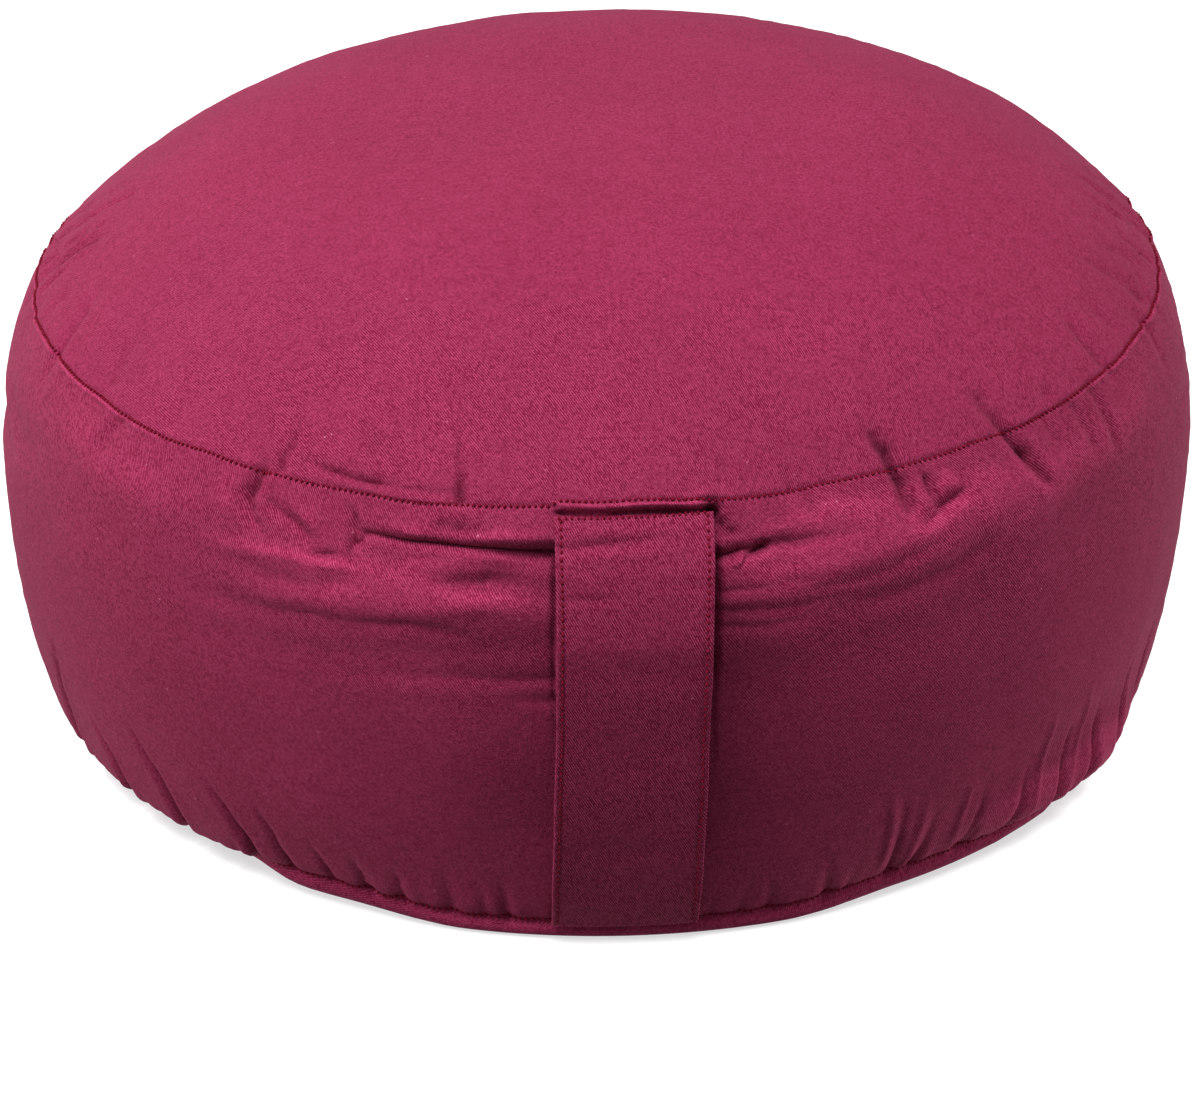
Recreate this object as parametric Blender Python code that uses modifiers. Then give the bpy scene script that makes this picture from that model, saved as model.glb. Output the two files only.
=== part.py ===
"""A round meditation cushion with a carry strap, as two solids in metres.

The cushion is the filled cloth: a domed top panel, a side band that bulges
between its two sewn seams, and a bottom panel that lies flat. Its turned form
is creased by the folds listed below. The strap is a thin strip that leaves the
top seam, stands off the band at hand height and goes into the bottom seam.

Azimuths are in degrees from the strap (-Y), growing towards +X. A "run" is the
length along the cloth from the top seam, up the top panel or, below zero, down
the band.
"""

import math
import random
from collections import namedtuple

import bpy
import numpy as np

MM = 0.001

# Turned form.
WIDEST_RADIUS = 0.165
WIDEST_HEIGHT = 0.0754
TOP_SEAM_RADIUS = 0.1544
TOP_SEAM_HEIGHT = 0.1244
BOTTOM_SEAM_RADIUS = 0.1545
BOTTOM_SEAM_HEIGHT = 0.0080
CROWN_RISE = 0.0455
CROWN_POWER = 3.77
UPPER_BAND_POWER = 2.5
LOWER_BAND_POWER = 2.3
RIM_RADIUS = 0.1545
RIM_HEIGHT = 0.0040
FOOT_RADIUS = 0.1515
SEAM_SLOPE = math.tan(math.radians(1.2))

# Sewn seams: a valley where the panels meet.
TOP_VALLEY = 1.3 * MM
TOP_VALLEY_HALF_WIDTH = 2.6 * MM
BOTTOM_VALLEY = 1.6 * MM
BOTTOM_VALLEY_HALF_WIDTH = 2.6 * MM

# Carry strap.
STRAP_WIDTH_TOP = 0.0400
STRAP_WIDTH_BOTTOM = 0.0385
STRAP_THICKNESS = 1.6 * MM
STRAP_TOP_AZIMUTH = 0.4
STRAP_BOTTOM_AZIMUTH = -0.3
STRAP_SEAT_GAP = 0.45 * MM

# The band lies flat behind the strap, and away from it stands proud in a soft
# roll just above the bottom seam.
FLAT_HALF_ANGLE = 18.0
FLAT_DEPTH = 3.5 * MM
ROLL_DEPTH = 1.4 * MM
ROLL_ABOVE_SEAM = 10.0 * MM
ROLL_HALF_HEIGHT = 7.0 * MM

# How fine the solids are.
TURN_STEPS = 300
ROW_PITCH = 1.9 * MM
CUSHION_TRIANGLES = 10400
STRAP_COLUMNS = 8
STRAP_ROWS = 44

CLOTH_COLOUR = (0.376, 0.030, 0.098, 1.0)
CLOTH_ROUGHNESS = 0.85

# Folds of the cloth: a soft trough (or, with a depth below zero, a ridge) from
# place a to place b, in degrees and mm. It is deepest in its middle, or at a
# where `deepest` is "a", or at b. SEAM_END is the run of the bottom seam.
SEAM_END = -121.0
Fold = namedtuple("Fold", "azimuth_a run_a azimuth_b run_b depth half_width deepest")
FOLDS = [
    # Band, left of the strap.
    Fold(-5.5, -10.6, -24.5, -10.0, 5.0, 2.3, "a"),
    Fold(-5.5, -14.6, -22.0, -14.0, -1.0, 2.6, "a"),
    Fold(-36.3, 4.0, -36.5, -6.0, 1.8, 2.4, "mid"),
    Fold(-36.5, -5.0, -34.6, -17.0, 1.8, 2.6, "mid"),
    Fold(-34.5, -7.0, -28.6, -15.0, 1.6, 2.8, "mid"),
    Fold(-28.6, -19.0, -24.6, -16.4, 1.6, 2.2, "mid"),
    Fold(-26.1, -2.8, -25.2, -15.6, 1.1, 2.0, "mid"),
    Fold(-54.0, 1.5, -57.6, -12.0, 1.0, 3.0, "mid"),
    Fold(-43.0, -38.5, -15.5, -32.0, 1.3, 6.0, "mid"),
    Fold(-36.0, -27.6, -22.0, -19.4, 1.2, 4.5, "mid"),
    Fold(-16.4, -19.2, -11.0, -19.0, 1.6, 4.6, "mid"),
    Fold(-27.0, -47.6, -7.0, -45.4, 0.9, 5.5, "mid"),
    # Band, right of the strap.
    Fold(7.4, 0.5, 9.8, -8.4, 2.6, 2.4, "a"),
    Fold(6.0, -12.9, 12.8, -11.6, 4.6, 2.2, "a"),
    Fold(12.2, -11.8, 9.0, -19.0, 2.2, 1.9, "mid"),
    Fold(11.5, -12.0, 21.0, -16.4, 1.2, 3.0, "mid"),
    Fold(7.0, -24.2, 22.0, -23.6, 1.3, 3.6, "a"),
    Fold(7.0, -28.4, 27.0, -34.5, 1.2, 4.2, "a"),
    Fold(13.0, -28.0, 30.0, -20.0, -1.1, 5.0, "mid"),
    Fold(25.2, 12.0, 26.6, -3.5, 1.7, 3.6, "mid"),
    Fold(26.4, -1.5, 28.0, -14.0, 1.9, 2.6, "mid"),
    Fold(27.0, -18.0, 34.5, -12.5, 1.5, 2.6, "mid"),
    Fold(38.4, 14.0, 39.8, -1.0, 1.5, 3.0, "mid"),
    Fold(39.6, 0.0, 43.0, -18.5, 1.9, 2.6, "mid"),
    Fold(48.7, -3.0, 50.4, -22.0, 1.1, 3.0, "mid"),
    Fold(52.5, -1.0, 53.6, -22.0, 1.2, 2.6, "mid"),
    # Top panel, near the seam.
    Fold(-32.2, 4.2, -21.5, 3.6, 1.3, 2.2, "mid"),
    Fold(-17.4, 28.0, -15.4, 1.0, 0.9, 4.6, "mid"),
    Fold(-35.2, 17.0, -34.4, 3.0, 1.0, 3.6, "mid"),
    Fold(9.0, 13.0, 8.2, 1.0, 0.8, 3.4, "mid"),
    # Gathers above the bottom seam, at the front.
    Fold(-60.4, -74.0, -55.6, SEAM_END, 3.0, 3.4, "b"),
    Fold(-53.6, -84.0, -48.4, SEAM_END, 3.6, 3.4, "b"),
    Fold(-42.8, -88.0, -39.0, SEAM_END, 3.4, 3.2, "b"),
    Fold(-36.6, -96.0, -34.8, SEAM_END, 2.2, 3.2, "b"),
    Fold(-31.6, -104.0, -29.8, SEAM_END, 1.8, 3.0, "b"),
    Fold(-25.0, -106.0, -24.4, SEAM_END, 1.5, 2.8, "b"),
    Fold(-19.0, -100.0, -18.2, SEAM_END, 1.4, 3.0, "b"),
    Fold(18.4, -102.0, 19.4, SEAM_END, 1.5, 3.0, "b"),
    Fold(26.4, -94.0, 26.6, SEAM_END, 2.6, 2.8, "b"),
    Fold(31.0, -100.0, 29.4, SEAM_END, 1.9, 3.0, "b"),
    Fold(36.0, -100.0, 35.8, SEAM_END, 2.2, 3.2, "b"),
    Fold(42.6, -98.0, 40.6, SEAM_END, 2.2, 3.2, "b"),
    Fold(48.6, -92.0, 47.4, SEAM_END, 3.0, 3.2, "b"),
    Fold(55.0, -92.0, 53.6, SEAM_END, 3.2, 3.2, "b"),
    Fold(60.6, -88.0, 59.8, SEAM_END, 2.8, 3.4, "b"),
]

# The rest of the way round the cloth is gathered alike, at uneven steps.
REST_FROM = 66.0
REST_TO = 296.0
REST_SEED = 27


def rest_folds():
    """Folds on the sides and the back: gathers at both seams and slack creases."""
    draw = random.Random(REST_SEED)
    folds = []
    azimuth = REST_FROM
    while azimuth < REST_TO:
        lean = draw.uniform(-3.0, 3.0)
        reach = draw.uniform(16.0, 42.0)
        depth = draw.uniform(1.6, 3.4)
        folds.append(Fold(azimuth + lean, SEAM_END + reach, azimuth, SEAM_END, depth, 3.4, "b"))
        azimuth += draw.uniform(5.0, 8.5)
    azimuth = REST_FROM
    while azimuth < REST_TO:
        up = draw.uniform(4.0, 26.0)
        down = draw.uniform(6.0, 22.0)
        depth = draw.uniform(0.9, 1.9)
        lean = draw.uniform(-2.5, 2.5)
        folds.append(Fold(azimuth, up, azimuth + lean, -down, depth, 3.4, "mid"))
        azimuth += draw.uniform(9.0, 17.0)
    azimuth = REST_FROM
    while azimuth < REST_TO:
        run = draw.uniform(-44.0, -14.0)
        length = draw.uniform(10.0, 22.0)
        drop = draw.uniform(-5.0, 5.0)
        folds.append(Fold(azimuth, run, azimuth + length, run + drop, 1.2, 4.8, "mid"))
        azimuth += draw.uniform(20.0, 34.0)
    return folds


def band_radius(height):
    """Radius of the band's turned form at a height."""
    if height < WIDEST_HEIGHT:
        seam_radius, seam_height, power = BOTTOM_SEAM_RADIUS, BOTTOM_SEAM_HEIGHT, LOWER_BAND_POWER
    else:
        seam_radius, seam_height, power = TOP_SEAM_RADIUS, TOP_SEAM_HEIGHT, UPPER_BAND_POWER
    share = abs(height - WIDEST_HEIGHT) / abs(seam_height - WIDEST_HEIGHT)
    return seam_radius + (WIDEST_RADIUS - seam_radius) * (1.0 - share**power)


def outline():
    """The turned form from the crown down to the foot: rows of radius, height."""
    rows = []
    crown_rows = 40
    for i in range(crown_rows):
        radius = TOP_SEAM_RADIUS * math.sin(0.5 * math.pi * i / crown_rows)
        rise = CROWN_RISE * (1.0 - (radius / TOP_SEAM_RADIUS) ** CROWN_POWER)
        rows.append((radius, TOP_SEAM_HEIGHT + rise))
    band_rows = round((TOP_SEAM_HEIGHT - BOTTOM_SEAM_HEIGHT) / ROW_PITCH)
    for i in range(band_rows + 1):
        height = TOP_SEAM_HEIGHT + (BOTTOM_SEAM_HEIGHT - TOP_SEAM_HEIGHT) * i / band_rows
        rows.append((band_radius(height), height))
    rows.append((RIM_RADIUS + 0.3 * MM, 0.5 * (BOTTOM_SEAM_HEIGHT + RIM_HEIGHT)))
    rows.append((RIM_RADIUS, RIM_HEIGHT))
    rows.append((0.5 * (RIM_RADIUS + FOOT_RADIUS) + 0.4 * MM, 0.3 * RIM_HEIGHT))
    rows.append((FOOT_RADIUS, 0.0))
    return np.array(rows)


def runs_of(rows):
    """Length along the cloth from the top seam to each row of the outline."""
    steps = np.hypot(*np.diff(rows, axis=0).T)
    lengths = np.concatenate([[0.0], np.cumsum(steps)])
    seam = int(np.argmin(np.hypot(rows[:, 0] - TOP_SEAM_RADIUS, rows[:, 1] - TOP_SEAM_HEIGHT)))
    return lengths[seam] - lengths


def outward_of(rows):
    """The turned form's outward direction at each row of the outline."""
    slope = np.gradient(rows, axis=0)
    slope /= np.hypot(slope[:, 0], slope[:, 1])[:, None]
    return np.stack([-slope[:, 1], slope[:, 0]], axis=1)


ROWS = outline()
RUNS = runs_of(ROWS)
OUTWARD = outward_of(ROWS)
BOTTOM_SEAM_ROW = int(np.argmin(np.abs(ROWS - (BOTTOM_SEAM_RADIUS, BOTTOM_SEAM_HEIGHT)).sum(1)))
BOTTOM_SEAM_RUN = float(RUNS[BOTTOM_SEAM_ROW])


def smooth_step(low, high, value):
    share = np.clip((value - low) / (high - low), 0.0, 1.0)
    return share * share * (3.0 - 2.0 * share)


def fold_depth(fold, azimuth, run):
    """How far one fold draws the cloth in, for arrays of azimuths and runs."""
    arc = math.radians(1.0) * WIDEST_RADIUS
    start = np.array([fold.azimuth_a * arc, fold.run_a * MM])
    way = np.array([fold.azimuth_b * arc, fold.run_b * MM]) - start
    length = float(np.hypot(*way))
    way /= length
    across_from_start = (azimuth - fold.azimuth_a + 180.0) % 360.0 - 180.0
    u = across_from_start * arc
    v = run - start[1]
    along = (u * way[0] + v * way[1]) / length
    across = u * way[1] - v * way[0]
    inside = np.clip(along, 0.0, 1.0)
    beyond = (along - inside) * length
    if fold.deepest == "mid":
        strength = 0.45 + 0.55 * np.sin(math.pi * inside)
    else:
        away = inside if fold.deepest == "a" else 1.0 - inside
        strength = 1.0 - 0.75 * away**1.5
    spread = (across**2 + beyond**2) / (fold.half_width * MM) ** 2
    return fold.depth * MM * strength * np.exp(-spread)


def seam_valleys(run):
    """How far the two seams draw the cloth in."""
    top = run / TOP_VALLEY_HALF_WIDTH
    bottom = (run - BOTTOM_SEAM_RUN) / BOTTOM_VALLEY_HALF_WIDTH
    return TOP_VALLEY * np.exp(-(top**2)) + BOTTOM_VALLEY * np.exp(-(bottom**2))


def drawn_in(azimuth, run, height):
    """How far the seams, the folds and the strap's pull draw the turned form in."""
    inward = seam_valleys(run)
    for fold in FOLDS + rest_folds():
        inward = inward + fold_depth(fold, azimuth, run)
    # The folds die out towards the foot, which stays round and flat.
    inward = inward * smooth_step(0.0, BOTTOM_SEAM_HEIGHT, height)
    above_seam = run - BOTTOM_SEAM_RUN
    aside = np.minimum(np.abs(azimuth) / FLAT_HALF_ANGLE, 1.0)
    flat = FLAT_DEPTH * (1.0 - aside**2) ** 2
    flat = flat * smooth_step(-2.0 * MM, -16.0 * MM, run) * smooth_step(0.0, 30.0 * MM, above_seam)
    roll = ROLL_DEPTH * np.exp(-(((above_seam - ROLL_ABOVE_SEAM) / ROLL_HALF_HEIGHT) ** 2))
    roll = roll * smooth_step(FLAT_HALF_ANGLE, FLAT_HALF_ANGLE + 8.0, np.abs(azimuth))
    return inward + flat - roll


def cloth_material(name):
    material = bpy.data.materials.new(name)
    material.use_nodes = True
    shader = material.node_tree.nodes["Principled BSDF"]
    shader.inputs["Base Color"].default_value = CLOTH_COLOUR
    shader.inputs["Roughness"].default_value = CLOTH_ROUGHNESS
    shader.inputs["Metallic"].default_value = 0.0
    material.diffuse_color = CLOTH_COLOUR
    return material


def turned_mesh():
    """The outline turned about Z, as a closed mesh."""
    points = [(radius, 0.0, height) for radius, height in ROWS]
    points.append((0.0, 0.0, 0.0))
    edges = [(i, i + 1) for i in range(len(points) - 1)]
    profile = bpy.data.meshes.new("profile")
    profile.from_pydata(points, edges, [])
    turned = bpy.data.objects.new("turned", profile)
    bpy.context.scene.collection.objects.link(turned)
    screw = turned.modifiers.new("turn", "SCREW")
    screw.steps = TURN_STEPS
    screw.render_steps = TURN_STEPS
    screw.use_merge_vertices = True
    screw.merge_threshold = 0.0001
    screw.use_smooth_shade = True
    graph = bpy.context.evaluated_depsgraph_get()
    mesh = bpy.data.meshes.new_from_object(turned.evaluated_get(graph))
    bpy.data.objects.remove(turned)
    return mesh


def crease(mesh):
    """Moves the turned mesh's points by the folds, along the turned form's normal."""
    points = np.empty(len(mesh.vertices) * 3, np.float32)
    mesh.vertices.foreach_get("co", points)
    points = points.reshape(-1, 3).astype(float)
    radius = np.hypot(points[:, 0], points[:, 1])
    azimuth = np.degrees(np.arctan2(points[:, 0], -points[:, 1]))
    row = np.empty(len(points), int)
    for first in range(0, len(points), 4000):
        part = slice(first, first + 4000)
        away = np.hypot(radius[part, None] - ROWS[None, :, 0], points[part, 2, None] - ROWS[None, :, 1])
        row[part] = away.argmin(axis=1)
    out_r = OUTWARD[row, 0]
    out_z = OUTWARD[row, 1]
    inward = drawn_in(azimuth, RUNS[row], points[:, 2])
    on_floor = points[:, 2] < 0.1 * MM
    inward[on_floor] = 0.0
    new_radius = radius - inward * out_r
    share = np.divide(new_radius, radius, out=np.ones_like(radius), where=radius > 1e-6)
    points[:, :2] *= share[:, None]
    points[:, 2] -= inward * out_z
    points[:, 2] += SEAM_SLOPE * points[:, 0] * points[:, 2] / TOP_SEAM_HEIGHT
    mesh.vertices.foreach_set("co", points.astype(np.float32).ravel())


def make_cushion(collection):
    mesh = turned_mesh()
    crease(mesh)
    mesh.name = "cushion"
    mesh.materials.clear()
    mesh.materials.append(cloth_material("band_twill"))
    cushion = bpy.data.objects.new("cushion", mesh)
    collection.objects.link(cushion)
    # Flat stretches need few triangles, and the folds keep theirs.
    fewer = cushion.modifiers.new("fewer_triangles", "DECIMATE")
    fewer.ratio = CUSHION_TRIANGLES / sum(len(face.vertices) - 2 for face in mesh.polygons)
    return cushion


# The strap's stand-off from the band's turned form, by its share of the way down.
StandOff = namedtuple("StandOff", "share distance")
STAND_OFFS = [
    StandOff(0.00, STRAP_SEAT_GAP),
    StandOff(0.04, 1.2 * MM),
    StandOff(0.12, 2.7 * MM),
    StandOff(0.22, 3.4 * MM),
    StandOff(0.50, 2.8 * MM),
    StandOff(0.75, 2.2 * MM),
    StandOff(0.92, 1.0 * MM),
    StandOff(1.00, STRAP_SEAT_GAP),
]
STRAP_TOP_RUN = -0.7 * MM
STRAP_END_RUN = BOTTOM_SEAM_RUN + 0.4 * MM


def strap_point(across, down):
    """A point of the strap's inner face: across from -1 to 1, down from 0 to 1."""
    run = STRAP_TOP_RUN + (STRAP_END_RUN - STRAP_TOP_RUN) * down
    radius, height, out_r, out_z = (
        float(np.interp(-run, -RUNS, column)) for column in (*ROWS.T, *OUTWARD.T)
    )
    lean = math.radians(STRAP_TOP_AZIMUTH + (STRAP_BOTTOM_AZIMUTH - STRAP_TOP_AZIMUTH) * down)
    width = STRAP_WIDTH_TOP + (STRAP_WIDTH_BOTTOM - STRAP_WIDTH_TOP) * down
    shares = [row.share for row in STAND_OFFS]
    distances = [row.distance for row in STAND_OFFS]
    off = float(np.interp(down, shares, distances) - seam_valleys(run))
    reach = radius + off * out_r
    height += off * out_z
    x = across * 0.5 * width
    # At the seams the strap follows the round cushion, and between them it lies flat.
    end = 1.0 - smooth_step(0.0, 0.12, down) * smooth_step(1.0, 0.88, down)
    y = -reach + float(end) * (reach - math.sqrt(reach * reach - x * x))
    turned_x = x * math.cos(lean) - y * math.sin(lean)
    turned_y = x * math.sin(lean) + y * math.cos(lean)
    return (turned_x, turned_y, height + SEAM_SLOPE * turned_x * height / TOP_SEAM_HEIGHT)


def make_strap(collection):
    points = []
    for j in range(STRAP_ROWS + 1):
        for i in range(STRAP_COLUMNS + 1):
            points.append(strap_point(2.0 * i / STRAP_COLUMNS - 1.0, j / STRAP_ROWS))
    faces = []
    for j in range(STRAP_ROWS):
        for i in range(STRAP_COLUMNS):
            a = j * (STRAP_COLUMNS + 1) + i
            b = a + STRAP_COLUMNS + 1
            faces.append((a, b, b + 1, a + 1))
    mesh = bpy.data.meshes.new("carry_strap")
    mesh.from_pydata(points, [], faces)
    mesh.shade_smooth()
    mesh.materials.append(cloth_material("strap_twill"))
    strap = bpy.data.objects.new("carry_strap", mesh)
    collection.objects.link(strap)
    thick = strap.modifiers.new("two_layers", "SOLIDIFY")
    thick.thickness = STRAP_THICKNESS
    thick.offset = 1.0
    return strap


def main():
    for obj in list(bpy.data.objects):
        bpy.data.objects.remove(obj)
    collection = bpy.data.collections.new("meditation_cushion")
    bpy.context.scene.collection.children.link(collection)
    make_cushion(collection)
    make_strap(collection)


main()
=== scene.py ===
import math
import random
from collections import namedtuple

import bmesh
import bpy
import numpy as np
from mathutils import Matrix, Vector


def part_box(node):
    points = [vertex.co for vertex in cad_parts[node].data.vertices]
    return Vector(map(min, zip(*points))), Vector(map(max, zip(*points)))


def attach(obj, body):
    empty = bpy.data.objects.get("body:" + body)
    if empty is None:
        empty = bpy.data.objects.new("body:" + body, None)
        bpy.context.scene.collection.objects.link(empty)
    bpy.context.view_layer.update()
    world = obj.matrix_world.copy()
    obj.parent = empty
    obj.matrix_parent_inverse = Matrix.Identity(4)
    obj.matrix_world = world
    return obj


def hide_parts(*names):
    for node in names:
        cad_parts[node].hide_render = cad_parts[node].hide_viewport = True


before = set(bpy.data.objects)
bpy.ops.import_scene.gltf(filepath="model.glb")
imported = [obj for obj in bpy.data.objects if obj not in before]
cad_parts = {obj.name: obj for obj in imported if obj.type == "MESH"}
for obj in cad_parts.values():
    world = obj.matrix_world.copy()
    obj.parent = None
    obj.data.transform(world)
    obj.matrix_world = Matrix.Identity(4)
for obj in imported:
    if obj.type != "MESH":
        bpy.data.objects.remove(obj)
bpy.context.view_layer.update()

# The filled cushion: two rounds of cotton twill and a side band between them,
# sewn together inside out, turned, and stuffed until the top domes and the band
# bulges. All three panels are one closed skin here, drawn in at both seams.

MM = 0.001
TURN = 2.0 * math.pi
# Degrees of azimuth are taken as lengths of cloth at this radius.
CLOTH_RADIUS = 0.160
DEGREE = math.radians(1.0) * CLOTH_RADIUS

body_low, body_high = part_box("cushion")
WIDEST_RADIUS = 0.5 * (body_high.x - body_low.x)
WIDEST_HEIGHT = 0.0754
TOP_SEAM_RADIUS = 0.1544
TOP_SEAM_HEIGHT = 0.1244
BAND_END_RADIUS = 0.1540
BAND_END_HEIGHT = 0.0080
CROWN_RISE = 0.0455
CROWN_POWER = 3.77
CROWN_POINTS = 240
UPPER_BAND_POWER = 2.5
LOWER_BAND_POWER = 2.3
SEAM_SLOPE = math.tan(math.radians(1.2))

# The lowest part of the skin, from the height where the two shapes part: `above` is the
# length of cloth above the bottom seam. At the strap the seam shows over a low rim, beside it
# the rim lifts off the floor, and at the sides and the back the band rolls over the seam.
Low = namedtuple("Low", "above radius height")
FRONT_FOOT = [
    Low(28, 161.7, 35.2),
    Low(20, 160.1, 26.6),
    Low(12, 158, 18),
    Low(6, 156.2, 11.3),
    Low(2, 154.8, 6.7),
    Low(0, 154.2, 4.6),
    Low(-1.5, 154.7, 3),
    Low(-3, 154.5, 1.4),
    Low(-4.5, 153.4, 0.3),
    Low(-7, 151, 0.1),
    Low(-20, 138, 0.1),
    Low(-60, 98, 0.1),
    Low(-110, 48, 0.1),
    Low(-158, 0, 0.1),
]
LIFTED_FOOT = [
    Low(28, 161.7, 35.2),
    Low(20, 159.9, 26.8),
    Low(12, 157.4, 18.6),
    Low(6, 155, 12.2),
    Low(2, 153.1, 7.9),
    Low(0, 152.2, 5.9),
    Low(-1.5, 152.4, 4.3),
    Low(-3, 152, 2.6),
    Low(-4.5, 150.8, 1.1),
    Low(-7, 148.2, 0.2),
    Low(-20, 136, 0.1),
    Low(-60, 97, 0.1),
    Low(-110, 47, 0.1),
    Low(-158, 0, 0.1),
]
TUCKED_FOOT = [
    Low(28, 161.7, 34.9),
    Low(20, 160.1, 26.2),
    Low(12, 158.1, 17.6),
    Low(6, 155.9, 10.6),
    Low(2.6, 153.6, 6.6),
    Low(1.1, 151, 5.4),
    Low(0, 148.6, 5.8),
    Low(-1.5, 147.2, 4.4),
    Low(-3.5, 146, 1.6),
    Low(-6, 144.4, 0.1),
    Low(-20, 132, 0.1),
    Low(-60, 96, 0.1),
    Low(-110, 47, 0.1),
    Low(-158, 0, 0.1),
]
FOOT_FROM = 34.0


def smooth_step(low, high, value):
    share = np.clip((value - low) / (high - low), 0.0, 1.0)
    return share * share * (3.0 - 2.0 * share)


def bell(value):
    return np.exp(-value * value)


def turned(radius, angle, height):
    """Points at radii, at angles from the strap and at heights."""
    return np.stack([radius * np.sin(angle), -radius * np.cos(angle), height], 1)


def from_front(azimuth):
    """Azimuths in degrees from the strap, wrapped to -180..180."""
    return (azimuth + 180.0) % 360.0 - 180.0


def ring_faces(rows, columns):
    """Faces between rings of points, one ring for each row."""
    faces = []
    for row in range(rows - 1):
        for column in range(columns):
            here, ahead = (row * columns + place for place in (column, (column + 1) % columns))
            faces.append((here, here + columns, ahead + columns, ahead))
    return faces


def new_object(name, data):
    thing = bpy.data.objects.new(name, data)
    bpy.context.scene.collection.objects.link(thing)
    return thing


def read(items, field, kind=np.float64, size=1):
    """One field of all items, as a flat array."""
    values = np.zeros(len(items) * size, kind)
    items.foreach_get(field, values)
    return values


def band_radius(height):
    lower = height < WIDEST_HEIGHT
    seam_radius = np.where(lower, BAND_END_RADIUS, TOP_SEAM_RADIUS)
    seam_height = np.where(lower, BAND_END_HEIGHT, TOP_SEAM_HEIGHT)
    power = np.where(lower, LOWER_BAND_POWER, UPPER_BAND_POWER)
    share = np.abs(height - WIDEST_HEIGHT) / np.abs(seam_height - WIDEST_HEIGHT)
    return seam_radius + (WIDEST_RADIUS - seam_radius) * (1.0 - share**power)


def turned_form():
    """Crown and band of the turned form: lengths from the crown, and places as radius and height."""
    share = np.sin(np.linspace(0.0, 0.5 * math.pi, CROWN_POINTS))
    crown = np.stack([TOP_SEAM_RADIUS * share, TOP_SEAM_HEIGHT + CROWN_RISE * (1.0 - share**CROWN_POWER)], 1)
    height = np.linspace(TOP_SEAM_HEIGHT, BAND_END_HEIGHT, 200)[1:]
    places = np.concatenate([crown, np.stack([band_radius(height), height], 1)])
    lengths = np.concatenate([[0.0], np.cumsum(np.hypot(*np.diff(places, axis=0).T))])
    return lengths, places, lengths[len(crown) - 1]


# `run` is the length of cloth from the top seam, in metres: above zero up the top panel, below
# zero down the band.
form_lengths, form_places, CROWN_RUN = turned_form()
BOTTOM_RUN = CROWN_RUN - form_lengths[-1]
FLOOR_RUN = BOTTOM_RUN + FRONT_FOOT[-1].above * MM


def whole_outline(foot):
    """Runs, places and outward directions on one smooth line, from the crown to the foot's middle."""
    kept = CROWN_RUN - form_lengths > BOTTOM_RUN + FOOT_FROM * MM
    runs = np.concatenate([(CROWN_RUN - form_lengths)[kept], [BOTTOM_RUN + row.above * MM for row in foot]])
    places = np.concatenate([form_places[kept], [(row.radius * MM, row.height * MM) for row in foot]])
    slopes = np.gradient(places, runs, axis=0)
    fine = np.concatenate([runs[:CROWN_POINTS], np.linspace(runs[CROWN_POINTS], runs[-1], 900)])
    k = np.clip(np.searchsorted(-runs, -fine, side="right") - 1, 0, len(runs) - 2)
    step = (runs[k + 1] - runs[k])[:, None]
    t = (fine - runs[k])[:, None] / step
    smooth = (
        (2 * t**3 - 3 * t**2 + 1) * places[k]
        + (t**3 - 2 * t**2 + t) * step * slopes[k]
        + (3 * t**2 - 2 * t**3) * places[k + 1]
        + (t**3 - t**2) * step * slopes[k + 1]
    )
    along = np.gradient(smooth, fine, axis=0)
    along /= np.hypot(along[:, 0], along[:, 1])[:, None]
    return -fine, np.stack([*smooth.T, along[:, 1], -along[:, 0]])


OUTLINES = [whole_outline(foot) for foot in (FRONT_FOOT, LIFTED_FOOT, TUCKED_FOOT)]


def foot_shares(azimuth):
    """How far each of the three feet shapes the skin at these azimuths."""
    around = from_front(azimuth)
    lifted = smooth_step(15.0, 29.0, np.abs(around))
    rolled = np.maximum(smooth_step(33.0, 43.0, -around), smooth_step(49.0, 60.0, around))
    return (1.0 - lifted) * (1.0 - rolled), lifted * (1.0 - rolled), rolled


def outline_at(azimuth, run):
    """Radius, height and the outward direction's two parts, at azimuths and runs."""
    total = np.zeros((4, len(azimuth)))
    for share, (runs, columns) in zip(foot_shares(azimuth), OUTLINES):
        total += share * np.stack([np.interp(-run, runs, column) for column in columns])
    return total


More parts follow.
